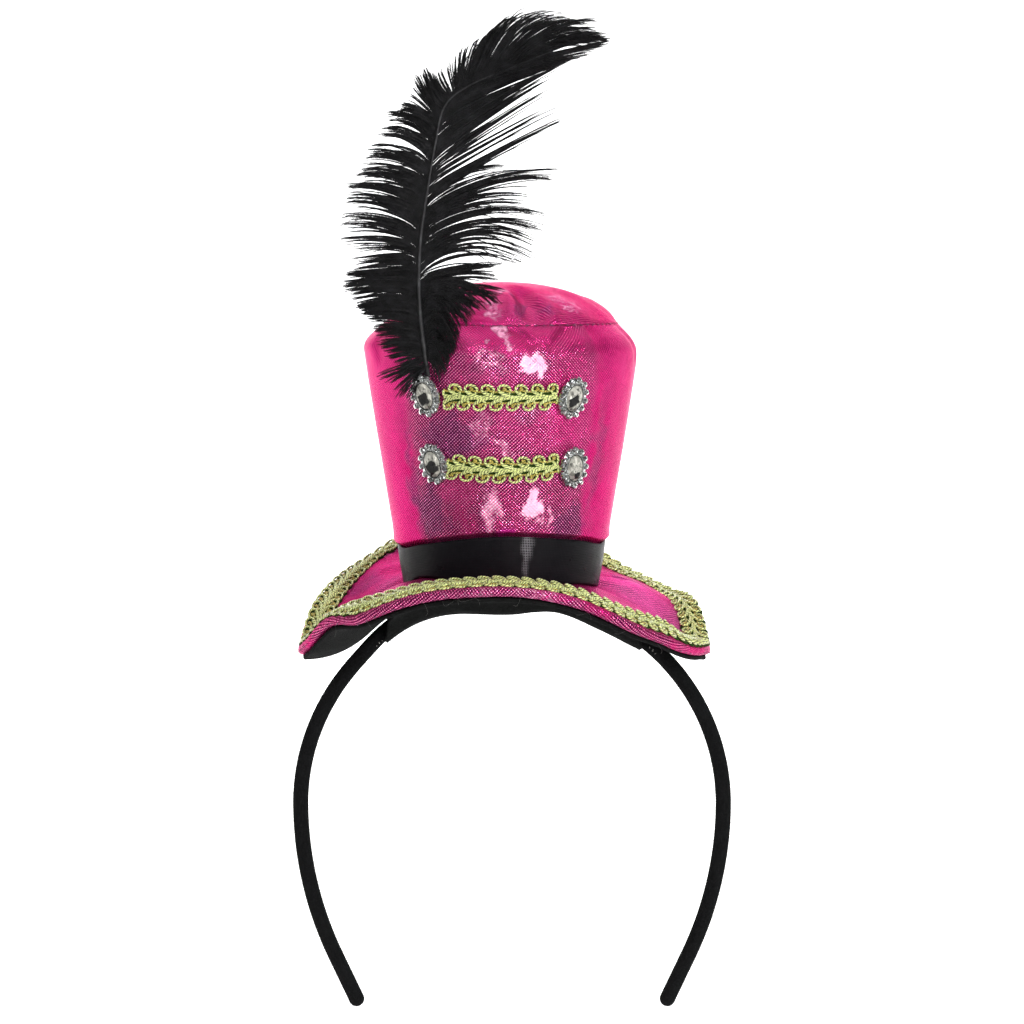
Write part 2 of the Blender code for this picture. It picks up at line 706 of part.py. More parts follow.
def make_brim_braid():
    """The braid along the brim's edge, with its loops standing out of both sides."""
    base = BRIM_DEPTH + BRAID_GAP
    width = BRAID_WIDTH / BRIM_HALF_X
    scallop = BRAID_SCALLOP / BRIM_HALF_X
    rings = []
    for i, azimuth in enumerate(even_turns(2 * BRIM_LOOPS)):
        swing = 0.5 if i % 2 else -0.5
        points = []
        for corner in BRIM_BRAID_SECTION:
            share = ROLL_SHARE - 0.5 * width + corner.side * 0.5 * (width - scallop) + swing * scallop
            points.append(brim_point(share, azimuth, base + BRAID_THICK * corner.level))
        rings.append(points)
    add_object("brim_braid", mesh_from_rings("brim_braid", rings, joined=True), "gimp")


def make_front_braid(frog):
    steps = 2 * FRONT_LOOPS
    middle = 0.5 * (frog.left + frog.right)
    half = 0.5 * (frog.right - frog.left)
    rings = []
    for i in range(steps + 1):
        azimuth = frog.left + (frog.right - frog.left) * i / steps
        sag = frog.sag * (1.0 - ((azimuth - middle) / half) ** 2)
        swing = 0.5 if i % 2 else -0.5
        points = []
        for corner in FRONT_BRAID_SECTION:
            reach = corner.side * 0.5 * (BRAID_WIDTH - BRAID_SCALLOP)
            reach += abs(corner.side) * swing * BRAID_SCALLOP
            z = frog.height - sag + reach
            radius = full_radius(z) + GAP + BRAID_THICK * corner.level
            points.append(crown_point(z, radius, azimuth))
        rings.append(points)
    ends = [[sum(ring, Vector()) / len(ring)] for ring in (rings[0], rings[-1])]
    add_object(frog.name, mesh_from_rings(frog.name, ends[:1] + rings + ends[1:]), "gimp")


def oval_ring(half, sides, height, start=0.0):
    return [Vector((half[0] * cos(start + a), half[1] * sin(start + a), height)) for a in even_turns(sides)]


def bead_spots():
    """Centres evenly spaced along the plate's edge, found by walking round it."""
    line = oval_ring(PLATE_HALF, WALK_STEPS, BEAD_RADIUS)
    steps = [(line[(i + 1) % WALK_STEPS] - line[i]).length for i in range(WALK_STEPS)]
    pitch = sum(steps) / BEADS
    spots = []
    walked = 0.5 * pitch
    for i in range(WALK_STEPS):
        if walked >= pitch * (len(spots) + 1) and len(spots) < BEADS:
            spots.append(line[i])
        walked += steps[i]
    return spots


def bead_start(spots):
    """Where the first bead lies round the plate."""
    return atan2(spots[0].y / PLATE_HALF[1], spots[0].x / PLATE_HALF[0])


def fan(bm, hub, rim):
    for i, vert in enumerate(rim):
        bm.faces.new((hub, vert, rim[(i + 1) % len(rim)]))


def band(bm, low, high):
    for i in range(len(low)):
        j = (i + 1) % len(low)
        bm.faces.new((low[i], low[j], high[j], high[i]))


def setting_mesh():
    """A scalloped plate with a domed bead in each scallop and a sunk seat for the stone."""
    bm = bmesh.new()
    spots = bead_spots()
    outline = []
    inner = []
    for n, spot in enumerate(spots):
        ahead = spots[(n + 1) % BEADS] - spots[n - 1]
        start = atan2(-ahead.x, ahead.y)
        middle = Vector((spot.x, spot.y, 0.0))
        rim, upper = [
            [bm.verts.new(p + middle) for p in oval_ring((reach, reach), BEAD_SIDES, z, start)]
            for reach, z in (
                (BEAD_RADIUS, BEAD_RADIUS),
                (BEAD_RADIUS * BEAD_SHOULDER_REACH, BEAD_RADIUS * BEAD_SHOULDER_LEVEL),
            )
        ]
        apex = bm.verts.new((spot.x, spot.y, 2.0 * BEAD_RADIUS))
        band(bm, rim, upper)
        fan(bm, apex, upper)
        outline.append([rim[k] for k in (-2, -1, 0, 1, 2)])
        inner.append([rim[k] for k in (-3, -4, 5, 4, 3)])
    seat = oval_ring(SEAT_HALF, 2 * BEADS, SEAT_TOP, bead_start(spots))
    seat_top = [bm.verts.new(p) for p in seat]
    seat_low = [bm.verts.new((p.x, p.y, SEAT_FLOOR)) for p in seat]
    for n in range(BEADS):
        chain = inner[n]
        after = inner[(n + 1) % BEADS][0]
        here = seat_top[2 * n]
        gap_before = seat_top[2 * n - 1]
        gap_after = seat_top[2 * n + 1]
        bm.faces.new((gap_before, chain[0], chain[1]))
        bm.faces.new((gap_before, chain[1], here))
        bm.faces.new((here, chain[1], chain[2]))
        bm.faces.new((here, chain[2], chain[3]))
        bm.faces.new((here, chain[3], gap_after))
        bm.faces.new((gap_after, chain[3], chain[4]))
        bm.faces.new((gap_after, chain[4], after))
        bm.faces.new((chain[4], outline[n][-1], outline[(n + 1) % BEADS][0], after))
    band(bm, seat_top, seat_low)
    fan(bm, bm.verts.new((0.0, 0.0, SEAT_FLOOR)), seat_low)
    edge = [vert for row in outline for vert in row]
    foot = [bm.verts.new((vert.co.x, vert.co.y, 0.0)) for vert in edge]
    band(bm, edge, foot)
    fan(bm, bm.verts.new((0.0, 0.0, 0.0)), foot)
    return finish_mesh(bm, "setting", METAL_SHARP_DEG)


def stone_mesh():
    """An oval cut stone with a flat table, crown facets and a flat back."""
    half = (SEAT_HALF[0] - STONE_CLEAR, SEAT_HALF[1] - STONE_CLEAR)
    base = SEAT_FLOOR + STONE_CLEAR
    girdle = SEAT_TOP - STONE_SUNK
    crown = girdle + STONE_GIRDLE
    table = (half[0] * STONE_TABLE, half[1] * STONE_TABLE)
    middle = (half[0] * STONE_BREAK.side, half[1] * STONE_BREAK.side)
    rings = [
        [Vector((0.0, 0.0, base))],
        oval_ring(half, STONE_SIDES, girdle),
        oval_ring(half, STONE_SIDES, crown),
        oval_ring(middle, STONE_SIDES, crown + STONE_BREAK.level * STONE_CROWN, pi / STONE_SIDES),
        oval_ring(table, STONE_SIDES, crown + STONE_CROWN),
        [Vector((0.0, 0.0, crown + STONE_CROWN))],
    ]
    return mesh_from_rings("stone", rings, sharp_deg=STONE_SHARP_DEG)


def jewel_place(jewel):
    """Matrix that lays a jewel on the crown's wall, leaning in the wall's own plane."""
    flare = atan2(CROWN_FLARE, 1.0)
    out = Vector((sin(jewel.azimuth) * cos(flare), -cos(jewel.azimuth) * cos(flare), -sin(flare)))
    across = Vector((cos(jewel.azimuth), sin(jewel.azimuth), 0.0))
    up = out.cross(across)
    spot = crown_point(jewel.height, full_radius(jewel.height), jewel.azimuth) + out * (GAP + jewel.lift)
    turn = Matrix((across, up, out)).transposed().to_4x4()
    return Matrix.Translation(spot) @ turn @ Matrix.Rotation(jewel.lean, 4, "Z")


def make_jewels():
    setting = setting_mesh()
    stone = stone_mesh()
    for jewel in JEWELS:
        holder = add_object("setting_" + jewel.place, setting.copy(), "gunmetal")
        gem = add_object("stone_" + jewel.place, stone.copy(), "smoke")
        for obj in (holder, gem):
            obj.matrix_world = jewel_place(jewel)


def clear_of_crown(point):
    """Push a point of the plume forward until it lies in front of the crown."""
    if point.z > PLUME_FREE_Z:
        return point
    radius = full_radius(min(point.z, SHOULDER[-1].height)) + LOCK_REST + shoulder_puff(-pi / 2, point.z)
    across = point.x - CROWN_X
    if abs(across) >= radius:
        return point
    return Vector((point.x, min(point.y, -sqrt(radius**2 - across**2)), point.z))


def make_plume():
    """The quill and its two vanes as one mesh; each lock splits from the vane and ends in a point."""
    line = [Vector(s) for s in QUILL]
    locks = len(LOCKS)
    stations = 2 * locks + 1
    centres = [spline_point(line, k / (stations - 1)) for k in range(stations)]
    front = Vector((0.0, -1.0, 0.0))
    bm = bmesh.new()

    def quill_ring(centre, side, taper, thick):
        wide = QUILL_HALF_WIDTH * taper
        deep = QUILL_HALF_DEPTH * taper * thick
        edge = 0.5 * LOCK_RIDGE * taper * thick
        spots = [(-wide, edge), (0.0, deep), (wide, edge), (wide, -edge), (0.0, -deep), (-wide, -edge)]
        return [bm.verts.new(centre + side * s + front * f) for s, f in spots]

    rings = []
    for k, centre in enumerate(centres):
        along = (centres[min(k + 1, stations - 1)] - centres[max(k - 1, 0)]).normalized()
        taper = 1.0 - QUILL_TAPER * k / (stations - 1)
        rings.append(quill_ring(centre, along.cross(front).normalized(), taper, 1.0))
    for low, high in zip(rings, rings[1:]):
        for i, j in ((0, 1), (1, 2), (3, 4), (4, 5)):
            bm.faces.new((low[i], low[j], high[j], high[i]))

    # The bare foot of the quill is flattened where it goes under the jewel.
    side = (centres[1] - centres[0]).cross(front).normalized()
    foot = [quill_ring(Vector(s), side, 1.0, thick) for s, thick in zip(QUILL_FOOT, QUILL_FOOT_THICK)]
    for low, high in zip(foot + rings[:1], foot[1:] + rings[:1]):
        if low is not high:
            band(bm, low, high)
    bm.faces.new(foot[0])
    bm.faces.new(rings[-1])

    def forward(n, share):
        """Every second lock lies in front of its neighbours, more so towards its tip."""
        return share if n % 2 else 0.0

    def pair(point, half, ahead):
        """One vertex on each face of a lock."""
        point = clear_of_crown(point) + front * LOCK_SHIFT * ahead
        return bm.verts.new(point + front * half), bm.verts.new(point - front * half)

    def vane(left):
        top_index, low_index = (0, 5) if left else (2, 3)
        split = LEFT_SPLIT if left else RIGHT_SPLIT
        tips = [(row[0], row[1], row[2]) if left else (row[3], row[4], row[5]) for row in LOCKS]

        def on_lock(n, k, share):
            """A point of the line that arches from a station of the quill to a lock's tip."""
            x, z, arch = tips[n]
            root = centres[k]
            tip = Vector((x, root.y, z))
            return root + (tip - root) * share + Vector((0.0, 0.0, 4.0 * arch * share * (1.0 - share)))

        inner = []
        for k in range(stations):
            if k % 2:
                n = k // 2
                inner.append(pair(on_lock(n, k, split), LOCK_RIDGE, forward(n, split)))
            else:
                beside = (max(k // 2 - 1, 0), min(k // 2, locks - 1))
                own = [on_lock(n, 2 * n + 1, split) + (centres[k] - centres[2 * n + 1]) for n in beside]
                inner.append(pair(0.5 * (own[0] + own[1]), LOCK_EDGE, 0.5 * split))

        for k in range(stations - 1):
            for index, face in ((top_index, 0), (low_index, 1)):
                bm.faces.new((rings[k][index], rings[k + 1][index], inner[k + 1][face], inner[k][face]))
        for k in (0, stations - 1):
            bm.faces.new((rings[k][top_index], inner[k][0], inner[k][1], rings[k][low_index]))

        for n in range(locks):
            k = 2 * n + 1
            rows = [(inner[k - 1], inner[k], inner[k + 1])]
            for place, width, thick in LOCK_NARROWS:
                middle = on_lock(n, k, place)
                ahead = forward(n, place)
                below = (centres[k - 1] - centres[k]) * width
                above = (centres[k + 1] - centres[k]) * width
                rows.append(
                    (
                        pair(middle + below, LOCK_EDGE * thick, ahead),
                        pair(middle, LOCK_RIDGE * thick, ahead),
                        pair(middle + above, LOCK_EDGE * thick, ahead),
                    )
                )
            tip = pair(on_lock(n, k, 1.0), LOCK_EDGE * LOCK_POINT, forward(n, 1.0))
            for low, high in zip(rows, rows[1:]):
                for face in (0, 1):
                    bm.faces.new((low[0][face], low[1][face], high[1][face], high[0][face]))
                    bm.faces.new((low[1][face], low[2][face], high[2][face], high[1][face]))
                for edge in (0, 2):
                    bm.faces.new((low[edge][0], high[edge][0], high[edge][1], low[edge][1]))
            last = rows[-1]
            for face in (0, 1):
                bm.faces.new((last[0][face], last[1][face], tip[face]))
                bm.faces.new((last[1][face], last[2][face], tip[face]))
            for edge in (0, 2):
                bm.faces.new((last[edge][0], tip[0], tip[1], last[edge][1]))

    vane(left=True)
    vane(left=False)
    add_object("plume", finish_mesh(bm, "plume", PLUME_SHARP_DEG), "plume")


def main():
    clear_scene()
    make_headband()
    make_felt_patch()
    make_brim_felt()
    make_brim()
    make_crown_side()
    make_crown_tip()
    make_hat_band()
    make_brim_braid()
    for frog in FROGS:
        make_front_braid(frog)
    make_jewels()
    make_plume()


main()
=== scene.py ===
# Mini top hat on a headband: the looks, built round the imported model.
# Metres, +Z up, the hat's front faces -Y, and angles round the hat run from its front towards +X.
import math

import bmesh
import bpy
import numpy as np
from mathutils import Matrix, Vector, noise


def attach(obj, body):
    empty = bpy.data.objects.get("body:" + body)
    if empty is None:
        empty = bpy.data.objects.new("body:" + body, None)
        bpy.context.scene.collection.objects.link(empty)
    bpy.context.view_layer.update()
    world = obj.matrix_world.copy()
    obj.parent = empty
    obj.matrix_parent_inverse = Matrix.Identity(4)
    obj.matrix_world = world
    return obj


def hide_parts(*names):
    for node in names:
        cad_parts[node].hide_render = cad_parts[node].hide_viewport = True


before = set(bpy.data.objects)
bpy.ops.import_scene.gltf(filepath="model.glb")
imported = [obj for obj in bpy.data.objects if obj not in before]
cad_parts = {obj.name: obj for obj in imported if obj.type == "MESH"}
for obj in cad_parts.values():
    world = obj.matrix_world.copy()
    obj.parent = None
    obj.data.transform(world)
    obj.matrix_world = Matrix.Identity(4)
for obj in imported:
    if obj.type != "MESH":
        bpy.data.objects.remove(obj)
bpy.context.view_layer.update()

mm = 0.001
turnFull = 2 * math.pi
hairGap = 0.3 * mm
# without a seed of its own, Blender's noise takes one from the clock
noise.seed_set(1795667026)


# Small helpers for tables, smooth curves and ovals

def throughRows(rows, places, closed=False):
    rows = np.array(rows, float)
    places = np.asarray(places, float)
    if closed:  # angles in degrees, wrapped to one turn
        rows = np.vstack([rows[-2] - [360, 0], rows, rows[1] + [360, 0]])
        places = (places + 180) % 360 - 180
    x, y = rows[:, 0], rows[:, 1]
    slope = np.empty_like(y)
    slope[1:-1] = (y[2:] - y[:-2]) / (x[2:] - x[:-2])
    slope[0] = (y[1] - y[0]) / (x[1] - x[0])
    slope[-1] = (y[-1] - y[-2]) / (x[-1] - x[-2])
    spot = np.clip(places, x[0], x[-1])
    i = np.clip(np.searchsorted(x, spot, side="right") - 1, 0, len(x) - 2)
    span = x[i + 1] - x[i]
    return hermite(y[i], y[i + 1], slope[i], slope[i + 1], span, (spot - x[i]) / span)


def hermite(start, end, slopeStart, slopeEnd, span, t):
    ends = start * (2 * t**3 - 3 * t**2 + 1) + end * (3 * t**2 - 2 * t**3)
    return ends + span * (slopeStart * (t**3 - 2 * t**2 + t) + slopeEnd * (t**3 - t**2))


def smoothStep(value):
    t = np.clip(value, 0.0, 1.0)
    return t * t * (3 - 2 * t)


def bell(value, width):
    return np.exp(-((value / width) ** 2))


def turnGap(a, b):
    return np.arctan2(np.sin(a - b), np.cos(a - b))


def evenTurns(steps):
    return turnFull * np.arange(steps) / steps


def ripple(places, seed, waves):
    # a smooth random line round the hat: waves is (how many humps, how strong) rows
    dice = np.random.default_rng(seed)
    total = np.zeros_like(places)
    for count, strength in waves:
        for n in range(count, count + 5):
            total += strength * dice.normal() * np.sin(n * places + dice.uniform(0, turnFull)) / 2
    return total


def throughTable(steps, table, places):
    return [throughRows(np.stack([steps, column], 1), places) for column in np.array(table).T]


def unit(vectors):
    return vectors / np.linalg.norm(vectors, axis=-1, keepdims=True)


def outward(turns):
    return np.stack([np.sin(turns), -np.cos(turns), np.zeros_like(turns)], -1)


def inOval(x, y, halfX, halfY, lean):
    # the place in the frame of a leaning oval, whose edge is 1 from its middle
    c, d = math.cos(math.radians(lean)), math.sin(math.radians(lean))
    return (x * c + y * d) / halfX, (y * c - x * d) / halfY


# Node trees. A wire is a node's output, and sums, products and powers of wires add math nodes to its tree

class Wire:
    def __init__(self, socket):
        self.socket = socket

    def __abs__(self):
        return calc("ABSOLUTE", self)


def wireMethod(operation, flipped):
    def method(self, other):
        if self.socket.type == "VECTOR":
            return scaled(self, other) if operation == "MULTIPLY" else vecCalc(operation, self, other)
        return calc(operation, other, self) if flipped else calc(operation, self, other)
    return method


for stem, operation in (
    ("add", "ADD"), ("sub", "SUBTRACT"), ("mul", "MULTIPLY"), ("truediv", "DIVIDE"), ("pow", "POWER"),
    ("mod", "FLOORED_MODULO"),
):
    setattr(Wire, "__%s__" % stem, wireMethod(operation, False))
    setattr(Wire, "__r%s__" % stem, wireMethod(operation, True))


def treeOf(*values):
    return next(value.socket.id_data for value in values if isinstance(value, Wire))


def plug(node, inputs):
    for key, value in inputs.items():
        socket = node.inputs[key]
        if isinstance(value, Wire):
            node.id_data.links.new(value.socket, socket)
        elif value is not None:
            socket.default_value = (*value, 1.0) if socket.type == "RGBA" else value


def makeNode(tree, kind, *inputs, **named):
    # a capitalised name is an input, with _ for a space, and any other name is a setting of the node
    node = tree.nodes.new(kind)
    for key, value in named.items():
        if key[0].islower():
            setattr(node, key, value)
    plug(node, dict(enumerate(inputs)))
    plug(node, {key.replace("_", " "): value for key, value in named.items() if key[0].isupper()})
    return node


def addNode(tree, kind, *inputs, out=0, **named):
    return Wire(makeNode(tree, kind, *inputs, **named).outputs[out])


def calc(operation, *values):
    return addNode(treeOf(*values), "ShaderNodeMath", *values, operation=operation)


def vecCalc(operation, *values):
    return addNode(treeOf(*values), "ShaderNodeVectorMath", *values, operation=operation)


def scaled(vector, factor):
    return addNode(treeOf(vector, factor), "ShaderNodeVectorMath", vector, Scale=factor, operation="SCALE")


def joinXyz(*values):
    return addNode(treeOf(*values), "ShaderNodeCombineXYZ", *values)


def splitXyz(vector):
    return [Wire(socket) for socket in makeNode(treeOf(vector), "ShaderNodeSeparateXYZ", vector).outputs]


def clamp(value):
    return addNode(treeOf(value), "ShaderNodeClamp", value)


# Materials

def dress(material, **sockets):
    shader = material.node_tree.nodes["Principled BSDF"]
    plug(shader, {key.replace("_", " "): value for key, value in sockets.items()})
    return material


def newMaterial(name, **sockets):
    material = bpy.data.materials.new(name)
    material.use_nodes = True
    return dress(material, **sockets)


def objectPlace(material):
    return addNode(material.node_tree, "ShaderNodeTexCoord", out="Object")


def clothPlace(material):
    return addNode(material.node_tree, "ShaderNodeUVMap", uv_map="cloth")


def storedField(material, name, out="Vector"):
    return addNode(material.node_tree, "ShaderNodeAttribute", attribute_name=name, out=out)


def mixColour(share, first, second):
    unused = [None] * 5
    return addNode(treeOf(share), "ShaderNodeMix", share, *unused, first, second, out=2, data_type="RGBA")


def toned(colour, factor):
    return tuple(min(1.0, factor * part) for part in colour)


def noiseAt(vector, scale, detail=2.0, roughness=0.5, distortion=0.0, offset=None):
    return addNode(
        treeOf(vector), "ShaderNodeTexNoise", Vector=vector if offset is None else vector + offset, Scale=scale,
        Detail=detail, Roughness=roughness, Distortion=distortion,
    )


def remap(value, low, high, toLow=0.0, toHigh=1.0):
    return addNode(
        treeOf(value), "ShaderNodeMapRange", value, low, high, toLow, toHigh, interpolation_type="SMOOTHSTEP"
    )


def bumpOf(height, distance, strength=1.0, under=None):
    return addNode(
        treeOf(height), "ShaderNodeBump", Height=height, Distance=distance, Strength=strength, Normal=under
    )


lameLook = {
    # pink and hotPink are the cloth's own colours; pale and blush are colours of painted highlight, plum and violet
    # colours of painted shade
    "pink": (0.56, 0.012, 0.150),
    "hotPink": (0.63, 0.026, 0.190),
    "pale": (1.0, 0.66, 0.86),
    "blush": (0.98, 0.24, 0.56),
    "plum": (0.045, 0.001, 0.028),
    "edgeTint": (0.95, 0.32, 0.52),
    "violet": (0.42, 0.003, 0.19),
    "yarnPitch": 0.73 * mm,
    "domeRise": 0.13 * mm,
    "crackleSize": 1.3 * mm,
    "creaseSize": 4.2 * mm,
    "zoneSize": 24 * mm,
    "chevronSize": 7.0 * mm,
    "creaseRise": 0.7 * mm,
    "crackleRise": 0.22 * mm,
    "sway": (0.55, 1.2),
    "metallic": (0.80, 0.55),
    "roughness": (0.24, 0.5),
}


def makeLame(name, gapDark=1.0, crinkle=1.0, pitch=1.0, loose=0.2, edge=lameLook["edgeTint"], gloss=0.15, soft=0.10):
    # foil-like yarns crossing on the bias. The stored attribute holds painted light on the weave: how open it is
    # (painted contrast of bright yarn tops against shaded gaps), how pale (painted highlight) and how dark (painted
    # shade)
    look = lameLook
    material = newMaterial(
        name, Specular_IOR_Level=gloss, Specular_Tint=edge, Coat_Weight=0.2 * gloss, Coat_Roughness=0.18
    )
    place = objectPlace(material)
    u, v, _ = splitXyz(clothPlace(material))
    open_, pale, dark = splitXyz(storedField(material, "paintedLight"))
    zones = 1 / look["zoneSize"]
    # the yarns of both ways, bent a little, whose domes grow in turn as the light catches one way or the other
    step = look["yarnPitch"] * pitch * math.sqrt(2)
    lean = (noiseAt(place, zones, 1.0) - 0.5) * 1.2
    yarnsA = abs(calc("SINE", ((u + v) / step + lean) * math.pi))
    yarnsB = abs(calc("SINE", ((u - v) / step - lean) * math.pi))
    turned = noiseAt(place, 1 / look["chevronSize"], 1.0, offset=(1.1, 8.7, 3.4))
    thin, full = look["sway"]
    lattice = yarnsA ** remap(turned, 0.44, 0.56, thin, full) * yarnsB ** remap(turned, 0.44, 0.56, full, thin)
    # patches of painted light: how lively the weave's painted contrast is, and ragged edges for the pale painted
    # highlights and the dark painted shade
    lively = remap(noiseAt(place, zones, 2.0, 0.55, 0.4, (0.3, 5.2, 2.4)), 0.40, 0.60)
    lively = clamp(lively * loose + open_)
    crease = noiseAt(place, 1 / look["creaseSize"], 3.0, 0.6, 1.2)
    crackle = noiseAt(place, 1 / look["crackleSize"], 2.0, 0.6, 0.6)
    ragged = (crackle + crease * 0.4) * 1.6 - 1.12
    glare = remap(pale * (ragged + 0.85), 0.28 + 0.6 * soft, 0.92 + 0.6 * soft)
    gloom = remap(dark * (ragged + 1.0), 0.15, 0.85)
    # how much of the painted shade between the yarns shows
    depth = (lively * 0.84 + 0.16) * gapDark * remap(pale, 0.9, 1.4, 1.0, 0.4)
    gapShare = (1.0 - remap(gloom * -0.18 + lattice, 0.32, 0.62)) * depth
    zone = noiseAt(place, zones, 2.0, 0.6, 0.6, (3.1, 1.7, 0.4))
    body = mixColour(remap(zone, 0.35, 0.7), look["pink"], look["hotPink"])
    # painted shade: the body turns violet where the stored dark share is high
    body = mixColour(gloom * 0.8, body, look["violet"])
    # painted highlight: the yarn tops turn pale where the weave is lively
    body = mixColour(lively * remap(lattice, 0.6, 0.95, 0.0, 0.42), body, look["pale"])
    # painted highlight: glare patches lose the painted shade of their gaps, take a soft blush and turn pale
    gap = mixColour(glare, look["plum"], body)
    body = mixColour(clamp(pale * soft), body, look["blush"])
    body = mixColour(glare, body, look["pale"])
    strength = lively * 0.75 + 0.25
    folded = bumpOf(crease, look["creaseRise"] * crinkle, strength)
    folded = bumpOf(crackle, look["crackleRise"] * crinkle, strength, folded)
    woven = bumpOf(lattice, look["domeRise"] * pitch, 0.9, folded)
    return dress(
        material, Base_Color=mixColour(gapShare, body, gap), Normal=woven, Coat_Normal=woven,
        Metallic=remap(gapShare, 0.0, 1.0, *look["metallic"]) * (glare * -0.5 + 1.0),
        Roughness=remap(gapShare, 0.0, 1.0, *look["roughness"]),
    )


satinLook = {
    "black": (0.0040, 0.0040, 0.0048),
    # colour of the painted sheen
    "sheen": (0.25, 0.25, 0.26),
    "ribPitch": 0.30 * mm,
    "weavePitch": 0.70 * mm,
}


def makeSatin():
    look = satinLook
    material = newMaterial("satin", Specular_IOR_Level=0.06, Anisotropic=0.5)
    place = objectPlace(material)
    u, v, _ = splitXyz(clothPlace(material))
    waves = turnFull / (look["weavePitch"] * math.sqrt(2))
    ribs = calc("SINE", v * (turnFull / look["ribPitch"]))
    weave = calc("SINE", (u + v) * waves) * calc("SINE", (u - v) * waves) + ribs * 0.5
    slub = noiseAt(place, 220, 3.0, 0.6)
    shade = mixColour(slub, look["black"], toned(look["black"], 1.9))
    # painted highlight: where the stored painted highlight is high, the weave turns towards the grey sheen colour
    lit = splitXyz(storedField(material, "paintedLight"))[1] * remap(weave + slub, 0.45, 0.75)
    return dress(
        material, Base_Color=mixColour(lit, shade, look["sheen"]), Roughness=remap(slub, 0.3, 0.7, 0.27, 0.36),
        Normal=bumpOf(weave, 0.035 * mm, 0.8, bumpOf(noiseAt(place, 45), 0.8 * mm, 0.5)),
    )


def makeNap(name, tint, size, lump, sheen):
    # felt and wrapped cloth: matt, with clumped fibres and a faint dusty sheen
    material = newMaterial(
        name, Sheen_Weight=sheen, Sheen_Roughness=0.55, Sheen_Tint=(0.75, 0.75, 0.78), Specular_IOR_Level=0.03
    )
    place = objectPlace(material)
    clump = noiseAt(place, 1 / size, 4.0, 0.65, 0.8)
    strand = noiseAt(place, 3.2 / size, 3.0, 0.7, 2.0)
    patch = noiseAt(place, 1 / (9 * size))
    fibres = clump * 0.6 + strand * 0.5
    light = toned(tint, 2.4)
    shade = mixColour(remap(fibres, 0.45, 0.72), tint, light)
    return dress(
        material, Base_Color=mixColour(remap(patch, 0.45, 0.75, 0.0, 0.4), shade, light),
        Roughness=remap(strand, 0.3, 0.7, 0.78, 0.98),
        Normal=bumpOf(fibres, lump, 1.0, bumpOf(patch, 4 * lump, 0.5)),
    )


def makeCord(name, light, grooveShade, twist, metallic, rough):
    # twisted cord: the attribute strand holds cosine and sine round the cord, and the length along it
    material = newMaterial(
        name, Metallic=metallic, Coat_Weight=0.4, Coat_Roughness=0.20, Sheen_Weight=0.2, Sheen_Roughness=0.4
    )
    cosine, sine, along = splitXyz(storedField(material, "strand"))
    phase = calc("ARCTAN2", sine, cosine) * 2.0 + along * (turnFull / twist)
    ply = abs(calc("SINE", phase * 0.5))
    spots = noiseAt(objectPlace(material), 900, 2.0, 0.6)
    # painted light: the crests of the plies take the light colour, and the grooves between them are darkened towards
    # the groove colour as painted shade
    shade = mixColour(remap(ply, 0.25, 0.80), grooveShade, light)
    return dress(
        material, Base_Color=mixColour(remap(spots, 0.5, 0.75, 0.0, 0.55), shade, toned(light, 1.25)),
        Roughness=remap(spots, 0.3, 0.7, rough, rough + 0.18),
        Normal=bumpOf(ply + calc("SINE", phase * 5.0) * 0.08, 0.14 * mm, 0.9),
    )


def makeMetal():
    # polished dark silver with a painted reflection: deep in the middle of each bead, where it faces the front, and
    # light towards its rim
    material = newMaterial("darkSilver", Metallic=1.0)
    place = objectPlace(material)
    wearAndPaintedLight = noiseAt(place, 700, 3.0, 0.6)
    # painted reflection: darker where the surface faces the front or back, lighter where it turns sideways, up or
    # down
    normal = addNode(material.node_tree, "ShaderNodeTexCoord", out="Normal")
    rim = 1.0 - abs(splitXyz(normal)[1])
    shade = mixColour(remap(rim, 0.10, 0.55), (0.16, 0.165, 0.165), (0.90, 0.92, 0.90))
    shade = mixColour(remap(wearAndPaintedLight, 0.45, 0.7, 0.0, 0.35), shade, (0.24, 0.25, 0.24))
    shade = mixColour(remap(noiseAt(place, 180), 0.55, 0.75, 0.0, 0.5), shade, (0.40, 0.30, 0.31))
    rough = remap(wearAndPaintedLight, 0.3, 0.7, 0.14, 0.3)
    return dress(material, Base_Color=shade, Roughness=rough, Normal=bumpOf(wearAndPaintedLight, 0.04 * mm, 0.6))


def makeStone():
    # smoky glass over foil with painted reflections: each facet has its own painted tone, and the attribute shade is
    # the place round the dark square, a painted reflection
    material = newMaterial("smokyStone", Metallic=0.25, Specular_IOR_Level=0.12, Coat_Weight=0.05)
    speck = noiseAt(objectPlace(material), 900)
    across, along, _ = splitXyz(vecCalc("ABSOLUTE", storedField(material, "shade")))
    away = calc("MAXIMUM", across, along) + (speck * 0.7 - 0.35)
    tone = storedField(material, "tone", "Fac") * remap(away, 0.85, 1.05, 0.04, 1.0)
    shade = mixColour(tone, (0.005, 0.005, 0.006), (0.58, 0.57, 0.50))
    return dress(material, Base_Color=shade, Roughness=remap(speck, 0.3, 0.7, 0.08, 0.18))


def makeBarb(name, tint, gloss):
    material = newMaterial(name, Specular_IOR_Level=0.22, Anisotropic=0.4)
    streak = noiseAt(objectPlace(material), 350, 3.0, 0.6)
    shade = mixColour(remap(streak, 0.4, 0.75), tint, toned(tint, 3.0))
    return dress(material, Base_Color=shade, Roughness=remap(streak, 0.3, 0.7, gloss, gloss + 0.2))


